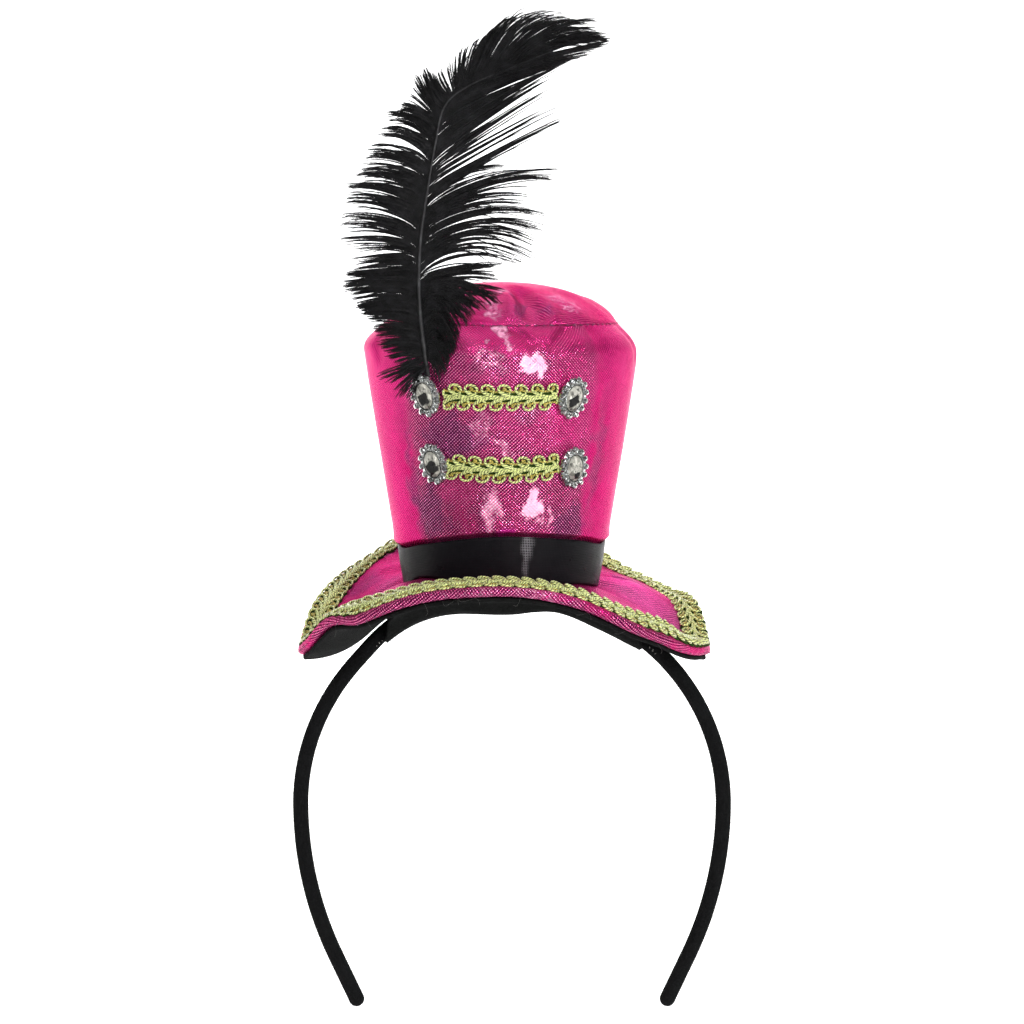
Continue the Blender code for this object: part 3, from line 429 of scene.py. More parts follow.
crownLame = makeLame("lameCrown")
tipLame = makeLame("lameTip", gapDark=0.85, crinkle=1.5, loose=0.3, edge=(0.85, 0.10, 0.36), gloss=0.08)
brimLame = makeLame("lameBrim", crinkle=0.7, pitch=0.9, loose=0.3, edge=(0.88, 0.08, 0.46), gloss=0.04, soft=0.95)
edgeLame = makeLame("lameEdge", crinkle=1.5, loose=0.9, edge=(0.92, 0.14, 0.45), gloss=0.08)
satin = makeSatin()
feltBlack = makeNap("felt", (0.0045, 0.0048, 0.0046), 0.9 * mm, 0.25 * mm, 0.012)
wrapBlack = makeNap("bandWrap", (0.0038, 0.0038, 0.0040), 0.6 * mm, 0.12 * mm, 0.008)
goldCord = makeCord("gimpGold", (0.70, 0.76, 0.27), (0.022, 0.035, 0.004), 1.0 * mm, 0.35, 0.28)
oliveCord = makeCord("gimpOlive", (0.55, 0.42, 0.07), (0.02, 0.06, 0.006), 0.8 * mm, 0.4, 0.34)
# painted shade: a dark sheet under the braid's cords, where the braid only has shadow
shadowNetBlack = makeNap("gimpShadowNet", (0.016, 0.030, 0.006), 0.5 * mm, 0.1 * mm, 0.01)
seamThread = makeCord("seamThread", (0.42, 0.010, 0.16), (0.10, 0.003, 0.05), 0.5 * mm, 0.0, 0.5)
darkSilver = makeMetal()
smokyStone = makeStone()
barbBlack = makeBarb("plumeBarbs", (0.0045, 0.0045, 0.0050), 0.36)
quillBlack = makeBarb("plumeQuill", (0.016, 0.016, 0.017), 0.42)
glueClear = newMaterial("driedGlue", Roughness=0.22, Transmission_Weight=0.4, Base_Color=(0.16, 0.155, 0.14))
lintGrey = newMaterial("lint", Roughness=0.8, Base_Color=(0.10, 0.095, 0.09))
print("materials made")


# Meshes from rings of points

def linkObject(name, data):
    thing = bpy.data.objects.new(name, data)
    bpy.context.collection.objects.link(thing)
    return thing


def dressMesh(name, points, faces, material, uvs=None, smooth=True):
    mesh = bpy.data.meshes.new(name)
    mesh.from_pydata(points, [], faces)
    if uvs is not None:
        mesh.uv_layers.new(name="cloth").data.foreach_set("uv", np.asarray(uvs, np.float32).ravel())
    if smooth:
        mesh.shade_smooth()
    mesh.validate()
    mesh.materials.append(material)
    return linkObject(name, mesh)


def ringShell(name, rings, flats, material, joined=True, capped=False):
    # rings is rows x places x 3; flats is the same grid in the cloth's own flat metres, with one place more
    rows, count, _ = rings.shape
    points = rings.reshape(-1, 3).tolist()
    faces, uvs = [], []
    for r in range(rows if joined else rows - 1):
        s = (r + 1) % rows
        for i in range(count):
            j = (i + 1) % count
            faces.append((r * count + i, r * count + j, s * count + j, s * count + i))
            uvs += [flats[r, i], flats[r, i + 1], flats[s, i + 1], flats[s, i]]
    for r, a, b in ((0, 1, 0), (rows - 1, 0, 1)) if capped else ():
        points.append(rings[r].mean(0).tolist())
        for i in range(count):
            faces.append((r * count + (i + a) % count, r * count + (i + b) % count, len(points) - 1))
            uvs += [flats[r, i + a], flats[r, i + b], flats[r].mean(0)]
    return pointOutward(dressMesh(name, points, faces, material, uvs))


def pointOutward(piece):
    bm = bmesh.new()
    bm.from_mesh(piece.data)
    bmesh.ops.recalc_face_normals(bm, faces=bm.faces)
    if bm.calc_volume(signed=True) < 0:
        bmesh.ops.reverse_faces(bm, faces=bm.faces)
    bm.to_mesh(piece.data)
    bm.free()
    return piece


def storeField(mesh, name, values, domain="POINT"):
    values = np.asarray(values)
    kind, key, size = "FLOAT", "value", np.float32
    if values.ndim > 1:
        kind, key = "FLOAT_VECTOR", "vector"
    elif values.dtype.kind == "i":
        kind, size = "INT", np.int32
    mesh.attributes.new(name, kind, domain).data.foreach_set(key, values.astype(size).ravel())


def ridePiece(piece, slot, *nodes):
    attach(piece, "root")
    if nodes:
        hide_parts(*nodes)
    print("  ", piece.name, len(piece.data.polygons), "faces")
    return piece


def layCloth(piece, slot, node, wearAndPaintedLight=None):
    # half the skin of a thin closed sheet is the cloth's own area
    # the stored values are painted light on the weave: painted contrast, painted highlight and painted shade
    if wearAndPaintedLight is not None:
        storeField(piece.data, "paintedLight", wearAndPaintedLight)
    ridePiece(piece, slot, node)
    return piece


# The saddle that the brim lies on, as in the solids

saddle = {
    "rodRadius": 2.4 * mm,
    "topRadius": 65.5 * mm,
    "centreZ": -59.5 * mm,
    "rodBow": [(-60, 0), (-45, 0.2), (-35, 1.3), (-27, 1.6), (-18, 1.1), (-8, 0), (0, -0.3), (10, 0), (20, 0)],
    "brimX": -2.4 * mm,
    "halfX": 63.6 * mm,
    "halfY": 66.0 * mm,
    "feltWall": 1.2 * mm,
    "gap": 0.35 * mm,
    "depth": 4.55 * mm,
    "leftWing": (43.0 * mm, 66.0 * mm, -14.4 * mm, 0.05),
    "rightWing": (45.5 * mm, 61.2 * mm, -14.0 * mm, 0.05),
    "risePower": 1.6,
    "edgeRise": [
        (-180, 9.6), (-162, 12.2), (-144, 13.0), (-126, 15.8), (-108, 11.3), (-90, 1.2), (-72, 4.6),
        (-54, 12.2), (-36, 5.9), (-18, 3.7), (0, 3.2), (18, 1.6), (36, 0.1), (54, 3.1), (72, 2.4),
        (90, 1.2), (108, 10.8), (126, 7.9), (144, 3.5), (162, 6.6), (180, 9.6),
    ],
}


def rodDistance(turn):
    return saddle["topRadius"] + throughRows(saddle["rodBow"], np.degrees(turn)) * mm


def overRod(x):
    turn = np.zeros_like(x)
    for _ in range(8):
        radius = rodDistance(turn) + saddle["rodRadius"] + hairGap
        turn = np.arcsin(np.clip(x / radius, -1, 1))
    return saddle["centreZ"] + radius * np.cos(turn)


def restLine(x):
    x = np.asarray(x, float)
    height = overRod(np.clip(x, -saddle["leftWing"][0], saddle["rightWing"][0]))
    step = 0.5 * mm
    for side, wing in ((-1, saddle["leftWing"]), (1, saddle["rightWing"])):
        start, tipX, tipZ, tipSlope = wing
        leave = float(overRod(np.array([side * start]))[0])
        slope = (leave - float(overRod(np.array([side * (start - step)]))[0])) / step
        t = (side * x - start) / (tipX - start)
        out = hermite(leave, tipZ, slope, tipSlope, tipX - start, t)
        height = np.where(side * x > start, out, height)
    return height


def underside(x, y):
    across = (x - saddle["brimX"]) / saddle["halfX"]
    along = y / saddle["halfY"]
    share = np.hypot(across, along)
    rise = throughRows(saddle["edgeRise"], np.degrees(np.arctan2(across, -along)), closed=True) * mm
    return restLine(x) + rise * share ** saddle["risePower"]


def saddleFrame(x, y):
    step = 0.5 * mm
    across = (underside(x + step, y) - underside(x - step, y)) / (2 * step)
    along = (underside(x, y + step) - underside(x, y - step)) / (2 * step)
    return unit(np.stack([-across, -along, np.ones_like(across)], -1))


def brimPoint(share, turn, lift):
    share, turn, lift = np.broadcast_arrays(share, turn, lift)
    x = saddle["brimX"] + saddle["halfX"] * share * np.sin(turn)
    y = -saddle["halfY"] * share * np.cos(turn)
    base = np.stack([x, y, underside(x, y)], -1)
    return base + saddleFrame(x, y) * lift[..., None]


def brimTop(x, y):
    return underside(x, y) + saddle["depth"] / saddleFrame(x, y)[..., 2]


# Camera, floor and light

studio = {
    "distance": 0.9,
    "elevation": 5.2,
    "lens": 103.0,
    "aim": 31.5 * mm,
    "floor": -124.0 * mm,
    "floorTone": (0.93, 0.93, 0.93),
    "floorGlow": 0.75,
    "glowEdge": (-0.12, 0.0),
    "wallAway": 1.6,
    "worldTone": (1.0, 1.0, 1.0),
    "worldPower": 0.17,
    # name, azimuth from the front in degrees, distance, height, width and height in metres, power in watts
    "lights": [
        ("keyStrip", 28, 1.4, 0.40, (0.09, 1.1), 20.0),
        ("leftStrip", -19, 1.4, 0.50, (0.08, 0.9), 3.0),
        ("leftBox", -108, 1.2, 0.25, (0.5, 0.9), 2.0),
        ("topBox", 170, 0.3, 1.25, (1.0, 1.0), 4.5),
        ("frontTop", 0, 0.55, 1.2, (1.2, 0.6), 2.5),
    ],
}


def areaLight(name, spot, aim, size, power):
    light = bpy.data.lights.new(name, "AREA")
    light.shape = "RECTANGLE"
    light.size, light.size_y = size
    light.energy = power
    lamp = linkObject(name, light)
    lamp.location = spot
    lamp.rotation_euler = (Vector(aim) - Vector(spot)).to_track_quat("-Z", "Y").to_euler()


def makeStudio():
    look, scene = studio, bpy.context.scene
    tilt = math.radians(look["elevation"])
    camera = bpy.data.cameras.new("camera")
    camera.lens = look["lens"]
    camera.sensor_width = 36.0
    camera.clip_start = 0.05
    scene.camera = linkObject("camera", camera)
    reach = look["distance"]
    scene.camera.location = (0.0, -reach * math.cos(tilt), look["aim"] + reach * math.sin(tilt))
    scene.camera.rotation_euler = (math.radians(90.0) - tilt, 0.0, 0.0)
    scene.view_settings.view_transform = "Standard"
    scene.view_settings.look = "None"
    scene.world = bpy.data.worlds.new("studioAir")
    scene.world.use_nodes = True
    air = scene.world.node_tree.nodes["Background"]
    plug(air, {"Color": look["worldTone"], "Strength": look["worldPower"]})

    # the floor sweeps up into a back wall
    away = look["wallAway"]
    bend = [(0.5 * away * math.sin(a), 0.5 * away * (1 - math.cos(a))) for a in np.radians(np.linspace(0, 90, 13))]
    profile = [(-2.5, 0.0)] + [(away + y, z) for y, z in bend] + [(1.5 * away, 3.0)]
    points = [(x, y, look["floor"] + z) for x in (-3.5, 3.5) for y, z in profile]
    count = len(profile)
    faces = [(i, count + i, count + i + 1, i + 1) for i in range(count - 1)]
    material = newMaterial("paleFloor", Roughness=0.85, Specular_IOR_Level=0.2, Emission_Color=(1.0, 1.0, 1.0))
    place, tone = objectPlace(material), look["floorTone"]
    glow = remap(splitXyz(place)[1], *look["glowEdge"], 0.0, look["floorGlow"])
    shade = mixColour(noiseAt(place, 3.0), tone, toned(tone, 0.985))
    dressMesh("paleFloor", points, faces, dress(material, Base_Color=shade, Emission_Strength=glow))

    for name, azimuth, reach, height, size, power in look["lights"]:
        turn = math.radians(azimuth)
        areaLight(name, (reach * math.sin(turn), -reach * math.cos(turn), height), (0.0, 0.0, 0.04), size, power)
    areaLight("wallWash", (0.0, 0.9, 1.4), (0.0, 2.2, 0.2), (2.5, 0.6), 40.0)


makeStudio()
print("camera, floor and lights made")


# Brim: board, its cloth with a rolled edge, and the felt under it

brimLook = {
    "holeShare": 0.40,
    "rollRadius": 1.5 * mm,
    "turnSteps": 480,
    "topRows": 40,
    "cut": (0.146, 0.146),
    "feltCut": (0.142, 0.142),
    "feltEdge": 0.975,
    # painted light on the weave: middle x, y, half sizes in mm and their turn in degrees, then open, pale and dark,
    # that is painted contrast, painted highlight and painted shade
    "wearAndPaintedLight": [
        (0, 0, 90, 90, 0, 0.4, 0.0, 0.0), (-37, -6, 5, 12, 30, 0.3, 0.0, 1.4),
        (-44, 4, 3, 14, -40, 0.3, 0.3, 0.0), (-48, -16, 7, 3, 30, 0.2, 0.25, 0.0),
        (-46, 20, 6, 9, 20, 0.3, 0.0, 0.6), (44, 0, 15, 17, 10, -0.1, 0.72, 0.0),
        (36, 16, 9, 3, 40, 0.3, 0.0, 0.9), (47, -12, 10, 2, -20, 0.3, 0.0, 0.5),
        (0, -64, 30, 5, 0, 0.4, 0.55, 0.0), (10, 48, 20, 10, 0, 0.2, 0.15, 0.2),
        (-24, 46, 14, 8, 30, 0.2, 0.0, 0.5),
    ],
    # each crease in plan: from x, y to x, y, then width and depth, all in mm
    "creases": [
        (27, -3, 47, -6, 2.6, 0.9),
        (26, 9, 37, 19, 1.7, 0.8),
        (25, 14, 33, 27, 1.6, 0.9),
        (28, 4, 39, 8, 1.8, -0.5),
        (-33, -2, -52, -14, 3.0, 0.8),
        (-32, 8, -50, 6, 2.6, -0.7),
        (-30, 14, -44, 26, 2.4, 0.8),
        (-31, -10, -40, -22, 2.2, 0.6),
        (-34, -18, -55, -2, 1.6, -0.6),
        (-38, -28, -56, -12, 1.8, 0.6),
        (44, -20, 56, -4, 2.0, 0.5),
        (33, -22, 52, -14, 2.2, 0.6),
    ],
}


# painted light on the brim's weave: soft oval patches from the table, each adding painted contrast, painted
# highlight and painted shade
def brimPaintedLight(grid, rows):
    x, y = grid[..., 0] / mm, grid[..., 1] / mm
    sway = 2.5 * np.sin(0.31 * x + 0.5 * np.sin(0.4 * y)) + 1.5 * np.sin(0.8 * y + 0.3 * x)
    total = np.zeros(grid.shape)
    for atX, atY, halfX, halfY, lean, *strengths in rows:
        away = np.hypot(*inOval(x - atX, y + sway - atY, halfX, halfY, lean))
        total += smoothStep(1.45 - away)[..., None] * np.array(strengths)
    return total


def creaseDepth(x, y, rows):
    total = np.zeros_like(x)
    for x0, y0, x1, y1, width, depth in rows:
        dx, dy = x1 - x0, y1 - y0
        t = np.clip(((x - x0) * dx + (y - y0) * dy) / (dx * dx + dy * dy), 0, 1)
        away = np.hypot(x - x0 - t * dx, y - y0 - t * dy)
        total += depth * bell(away, width) * smoothStep(4 * (1 - t))
    return total


def brimGrid(rows, turns):
    # rows of share and lift make the grid, and come back as columns
    share, lift = np.array(rows)[:, :2].T[..., None]
    return brimPoint(share, turns, lift), share, lift


def flatRound(shares, turns, size):
    # the round cloth laid flat, in metres
    turns = np.append(turns, turnFull)
    share = np.array(shares)[:, None] * size
    return np.stack([share * np.sin(turns), -share * np.cos(turns)], -1)


def makeBrim():
    look = brimLook
    turns = evenTurns(look["turnSteps"])
    low, high = saddle["feltWall"] + saddle["gap"], saddle["depth"]
    size, radius = saddle["halfY"], look["rollRadius"]
    middle = 0.5 * (low + high)
    hem = 1 - radius / size
    # rows of share, lift and share of the flat cloth: the underside, the roll and the top
    rows = [(s, low, s) for s in np.linspace(look["holeShare"], hem, 8)]
    for a in np.radians(np.linspace(-75, 80, 11)):
        rows.append((hem + radius * math.cos(a) / size, middle + radius * math.sin(a), hem + 0.03 + 0.02 * a))
    rows += [(s, high, s) for s in np.linspace(hem - 0.004, look["holeShare"], look["topRows"])]
    grid, share, lift = brimGrid(rows, turns)
    normals = saddleFrame(grid[..., 0], grid[..., 1])
    depth = -creaseDepth(grid[..., 0] / mm, grid[..., 1] / mm, look["creases"]) * mm
    grid = grid + normals * (depth * (lift > middle))[..., None]
    # the rolled hem puckers all the way round
    swell = bell(share - 1.0, 0.03) * (ripple(turns, 7, [(48, 0.05), (90, 0.05), (17, 0.05)]) * mm)
    grid = grid + outward(turns) * np.minimum(swell, 0.25 * mm)[..., None]
    grid = grid + normals * (0.6 * swell * np.sign(lift - middle))[..., None]
    brim = ringShell("brimCloth", grid, flatRound([row[2] for row in rows], turns, size), brimLame)
    brim.data.materials.append(edgeLame)
    hemRows = [r for r, row in enumerate(rows) if row[0] > hem - 0.002]
    onHem = range(hemRows[0] * len(turns), hemRows[-1] * len(turns))
    brim.data.polygons.foreach_set("material_index", [int(i in onHem) for i in range(len(brim.data.polygons))])
    layCloth(brim, "lame", "brim", brimPaintedLight(grid, look["wearAndPaintedLight"]))


def makeFelt():
    turns = evenTurns(360)
    thick, edge = saddle["feltWall"], brimLook["feltEdge"]
    rows = [(s, 0.0) for s in np.linspace(0.02, edge - 0.008, 30)]
    rows += [(edge - 0.003, 0.12 * mm), (edge, 0.45 * thick), (edge - 0.002, 0.85 * thick)]
    rows += [(s, thick) for s in np.linspace(edge - 0.008, 0.02, 14)]
    grid, share, _ = brimGrid(rows, turns)
    # the felt's cut edge wanders a little
    wander = np.clip(ripple(turns, 19, [(9, 0.10), (27, 0.08), (70, 0.05)]) * mm, -0.5 * mm, 0.35 * mm)
    grid = grid + outward(turns) * (wander * bell(share - edge, 0.06))[..., None]
    flats = flatRound(share[:, 0], turns, saddle["halfY"])
    felt = ringShell("brimFelt", grid, flats, feltBlack, joined=False, capped=True)
    return layCloth(felt, "felt", "brim_felt")


makeBrim()
brimFelt = makeFelt()
print("brim and felt made")


# Crown: the flaring side, the puffed tip and the satin ribbon

crown = {
    "x": -3.3 * mm,
    "wall": 2.0 * mm,
    "footZ": 1.8,
    "footRadius": 29.3,
    "flare": 0.16,
    "puff": (1.1, 84.8, 4.0),
    "shoulder": [(73.8, 40.8), (78.8, 41.4), (82.3, 41.2), (85.3, 39.6), (87.8, 37.3), (89.5, 35.6)],
    "dome": [(35.5, 89.64), (33.6, 92.2), (30.6, 94.7), (25.6, 97.4), (18.0, 100.0), (9.0, 101.6), (0.0, 102.1)],
    "ribbonTop": [(-180, 29), (-76, 21.5), (-45, 24), (-11, 26.7), (9, 27), (45, 25.2), (76, 22.7), (180, 29)],
    "pinch": 1.9,
    "pinchSpread": 1.6,
    "turnSteps": 360,
    "sideCut": (0.275, 0.102),
    "tipCut": (0.084, 0.084),
    "ribbonCut": (0.208, 0.027),
    # inside the wall: height and radius
    "lining": [(89.5, 33.6), (86.0, 36.6), (80.8, 39.2)],
    "tipLining": [(33.2, 89.8), (32.1, 90.7), (29.1, 93.2), (16.5, 98.5), (4.0, 100.0)],
    # creases of the cloth: from azimuth, height to azimuth, height in degrees and mm, then width and depth in mm
    "creases": [
        (1.9, 90.4, 16.6, 82.7, 2.0, 1.4),
        (35.0, 89.5, 18.0, 82.2, 2.0, 1.3),
        (9.0, 90.0, 17.0, 84.5, 1.8, -0.9),
        (27.0, 90.0, 19.0, 84.8, 1.8, -0.6),
        (17.2, 83.0, 17.8, 74.0, 2.6, 0.35),
        (-14.0, 90.0, 2.0, 76.0, 2.6, 0.7),
        (-20.0, 90.0, -3.0, 73.0, 2.2, -0.5),
        (47.0, 89.0, 50.0, 60.0, 2.4, 0.35),
        (52.0, 70.0, 51.0, 32.0, 2.4, 0.3),
        (-47.0, 66.0, -44.0, 34.0, 2.6, 0.35),
        (75.0, 90.0, 84.0, 76.0, 2.6, 0.7),
        (112.0, 90.0, 100.0, 78.0, 2.6, 0.7),
        (150.0, 90.0, 160.0, 76.0, 2.6, 0.8),
        (186.0, 90.0, 176.0, 78.0, 2.6, 0.7),
        (222.0, 90.0, 232.0, 77.0, 2.6, 0.8),
        (262.0, 90.0, 252.0, 78.0, 2.4, 0.7),
        (292.0, 90.0, 301.0, 77.0, 2.4, 0.7),
    ],
    # painted light on the side's weave: azimuth, height, half sizes in degrees and mm, then open, pale and dark,
    # that is painted contrast, painted highlight and painted shade
    "paintedLightFront": 47.0,
    "paintedLightWarp": 4.0,
    "wearAndPaintedLight": [
        (-35, 34, 10, 8, 0.6, 0.0, 0.70), (-23, 57, 15, 5.5, 0.5, 0.1, 0.75), (-8, 33, 8, 6, 0.5, 0.4, 0.35),
        (36, 31, 11, 5, 0.6, 0.0, 0.65), (35, 77, 10, 3.5, 0.1, 0.0, 0.0), (-35, 72, 9, 5, 0.5, 0.0, 0.45),
        (51, 49, 4, 18, 0.5, 0.0, 0.40), (-46, 43, 4, 20, 0.5, 0.0, 0.50), (2, 28, 4, 1.6, -0.6, 0.0, 1.2),
        (0.6, 88, 5, 3, 0.6, 0.8, 0.0), (12.4, 77.5, 4.0, 4.5, 0.4, 1.5, 0.0),
        (-3.5, 79.5, 7, 3.6, 0.5, 0.62, 0.0), (-9, 60, 7, 6, 0.5, 0.62, 0.0),
        (11.6, 64.4, 6, 2.6, 0.4, 0.6, 0.0), (1, 53.8, 6, 2.4, 0.4, 0.8, 0.0),
        (-4.3, 37, 6, 8, 0.5, 0.68, 0.0), (16, 37, 4.5, 7.5, 0.4, 1.4, 0.0), (24, 33, 2.4, 4, 0.4, 0.9, 0.0),
        (5, 87.5, 60, 5.5, -0.55, 0.2, 0.0), (33, 70, 14, 14, -0.35, 0.0, 0.0),
        (36, 56, 12, 8, -0.15, 0.0, 0.0), (105, 58, 20, 26, 0.35, 0.15, 0.15),
        (165, 42, 24, 20, 0.35, 0.2, 0.2), (235, 62, 22, 20, 0.35, 0.15, 0.2),
    ],
    # and on the tip: azimuth, radius, half sizes in degrees and mm, then open, pale and dark, that is painted
    # contrast, painted highlight and painted shade
    "tipPaintedLight": [
        (0, 30, 60, 16, 0.25, 0.15, 0.0), (11, 27, 4, 6, 0.4, 0.0, 1.3), (-6, 29, 7, 5, 0.4, 0.5, 0.0),
        (27, 31, 4, 2, 0.3, 0.0, 0.6), (45, 26, 14, 6, 0.0, 0.5, 0.0), (-30, 28, 10, 6, 0.4, 0.2, 0.6),
        (2, 20, 10, 4, 0.2, 0.7, 0.0), (120, 22, 34, 10, 0.3, 0.15, 0.15), (200, 24, 34, 10, 0.3, 0.1, 0.25),
        (280, 22, 28, 10, 0.3, 0.15, 0.1),
    ],
    # painted highlight on the ribbon: azimuth, height, half sizes in degrees and mm, then open, pale and dark; only
    # the pale share, the painted sheen, is used
    "ribbonPaintedLight": [
        (14.2, 24, 3.4, 3.5, 0.0, 0.9, 0.0), (13.2, 18, 1.6, 3.5, 0.0, 0.6, 0.0),
        (150, 16, 6, 9, 0.0, 0.4, 0.0),
    ],
    # gathers of the tip: azimuth, width in degrees, depth, and the radii where each starts and ends, in mm
    "gathers": [
        (17, 8, 2.6, 12, 33), (-14, 11, 1.0, 14, 32), (62, 12, 0.9, 16, 33), (118, 10, 1.3, 12, 33),
        (165, 12, 1.1, 16, 33), (-148, 10, 1.5, 12, 33), (-96, 12, 1.0, 16, 33),
    ],
    "smallGathers": [
        (6, 4, -1.2, 18, 34), (27, 4, -0.9, 20, 34), (37, 4, 0.35, 25, 34), (46, 4, -0.25, 25, 34),
        (-3, 5, 0.5, 20, 34), (78, 5, 0.4, 24, 34), (96, 5, -0.4, 24, 34), (138, 5, 0.4, 24, 34),
        (-60, 6, 0.5, 22, 34), (-120, 6, 0.5, 22, 34), (-172, 6, 0.4, 22, 34), (-36, 6, 0.5, 20, 34),
    ],
}


def ribbonEdge(turn):
    return throughRows(crown["ribbonTop"], np.degrees(turn), closed=True)


def fullRadius(height):
    cone = crown["footRadius"] + crown["flare"] * (height - crown["footZ"])
    return np.where(height <= crown["shoulder"][0][0], cone, throughRows(crown["shoulder"], height))


def wallRadius(height, turn):
    spread = crown["pinchSpread"]
    pinch = smoothStep((ribbonEdge(turn) + spread - height) / spread)
    return fullRadius(height) - crown["pinch"] * pinch


def crownPoint(height, radius, turn):
    height, radius, turn = np.broadcast_arrays(height, radius, turn)
    spot = [crown["x"] + radius * mm * np.sin(turn), -radius * mm * np.cos(turn), height * mm]
    return np.stack(spot, -1)


def crownFoot(turn, clear=0.0):
    height = np.zeros_like(turn)
    for _ in range(8):
        spot = crownPoint(height, wallRadius(height, turn) + clear, turn)
        height = (brimTop(spot[..., 0], spot[..., 1]) + hairGap) / mm
    return height


def crownCreases(height, turn):
    total = np.zeros_like(height)
    for az0, z0, az1, z1, width, depth in crown["creases"]:
        middle = math.radians(0.5 * (az0 + az1))
        reach = fullRadius(np.array(0.5 * (z0 + z1)))
        x = turnGap(turn, middle) * reach
        x0 = (math.radians(az0) - middle) * reach
        x1 = (math.radians(az1) - middle) * reach
        total += creaseDepth(x, height, [(x0, z0, x1, z1, width, depth)])
    return total


def conePattern(grid, turn):
    # the cone's cloth laid flat along its own skin, so its grain stands upright at the front
    turn = np.append(turn, turnFull)
    half = math.sin(math.atan(crown["flare"]))
    centred = (turn + math.pi) % turnFull - math.pi
    centred[-1] = centred[0]
    walked = np.cumsum(np.linalg.norm(np.diff(grid, axis=0), axis=-1), 0)
    reach = crown["footRadius"] * mm / half + np.concatenate([0 * walked[:1], walked])
    reach = np.concatenate([reach, reach[:, :1]], 1)
    return np.stack([reach * np.sin(centred * half), reach * np.cos(centred * half)], -1)


def paintedLightAt(grid, turn, place, rows, warp=1.0):
    # each row is a soft patch of painted light whose outline is pulled about by noise
    points = [Vector(point) for point in grid.reshape(-1, 3)]
    jitter = [noise.noise_vector(p / (5 * mm)) + 0.5 * noise.noise_vector(p / (1.8 * mm)) for p in points]
    jitter = np.array(jitter).reshape(grid.shape) * crown["paintedLightWarp"] * warp
    turn, place = turn + jitter[..., 0] / 38.0, place + jitter[..., 2]
    total = np.zeros(grid.shape)
    for az, spot, halfTurn, half, *strengths in rows:
        away = np.hypot(turnGap(turn, math.radians(az)) / math.radians(halfTurn), (place - spot) / half)
        total += smoothStep(1.45 - away)[..., None] * np.array(strengths)
    return total


def makeCrownSide():
    turns = evenTurns(crown["turnSteps"])
    foot, edge = crownFoot(turns), ribbonEdge(turns)
    start, seam = crown["shoulder"][0][0], crown["shoulder"][-1][0]
    spread, wall = crown["pinchSpread"], crown["wall"] / mm
    # rows of heights: behind the ribbon, over its top edge, up the cone, and round the shoulder to the seam
    rows = [foot + (edge - 0.6 - foot) * t for t in np.linspace(0, 1, 5)]
    rows += [edge - 0.6 + (spread + 0.8) * t for t in np.linspace(0.1, 1, 10)]
    rows += [edge + spread + 0.2 + (start - edge - spread - 0.2) * t for t in np.linspace(0.03, 1, 50)]
    rows += [start + (seam - start) * t * np.ones_like(turns) for t in np.linspace(0.03, 1, 34)]
    height = np.array(rows)
    turnGrid = np.broadcast_to(turns, height.shape)
    radius = np.where(height < start, wallRadius(height, turnGrid), fullRadius(height))
    puff, puffHeight, puffSpread = crown["puff"]
    radius = radius + puff * (0.5 - 0.5 * np.sin(turnGrid)) * bell(height - puffHeight, puffSpread)
    onShow = smoothStep((height - edge - 1.0) / 6) * smoothStep((seam - height) / 2.5 + 0.25)
    radius = radius - crownCreases(height, turnGrid) * onShow
    # the cloth is never quite flat
    sway = ripple(turns, 3, [(5, 0.10), (13, 0.05)]) * np.sin(height / 13.0)
    sway = sway + ripple(turns, 5, [(9, 0.05), (26, 0.03)]) * np.cos(height / 8.0)
    radius = radius + sway * onShow
    bulge = 0.35 * bell(height - edge - 1.7, 1.5)  # the cloth bellies over the ribbon's top edge
    outer = crownPoint(height, radius + bulge, turnGrid)
    inner = [crownPoint(z, r, turns) for z, r in crown["lining"]]
    for z in (edge + spread, crownFoot(turns, -wall)):
        inner.append(crownPoint(z, wallRadius(z, turns) - wall, turns))
    grid = np.concatenate([outer, np.array(inner)], 0)
    wearAndPaintedLight = paintedLightAt(outer, turnGrid, height, crown["wearAndPaintedLight"])
    # painted light: the weave's painted contrast is stronger across the front
    wearAndPaintedLight[..., 0] += 0.75 * smoothStep((math.radians(crown["paintedLightFront"]) - abs(turnGap(turnGrid, 0.0))) / 0.12)
    wearAndPaintedLight = np.concatenate([wearAndPaintedLight, np.zeros((len(inner), len(turns), 3))], 0)
    piece = ringShell("crownSide", grid, conePattern(grid, turns), crownLame)
    layCloth(piece, "lame", "crown_side", wearAndPaintedLight)


def tipGather(turn, radius):
    total = np.zeros(np.broadcast(turn, radius).shape)
    for az, width, depth, inner, outer in crown["gathers"] + crown["smallGathers"]:
        reach = smoothStep((radius - inner) / (0.4 * (outer - inner))) * smoothStep((35.2 - radius) / (35.2 - outer))
        total += depth * reach * bell(turnGap(turn, math.radians(az)), math.radians(width))
    return total


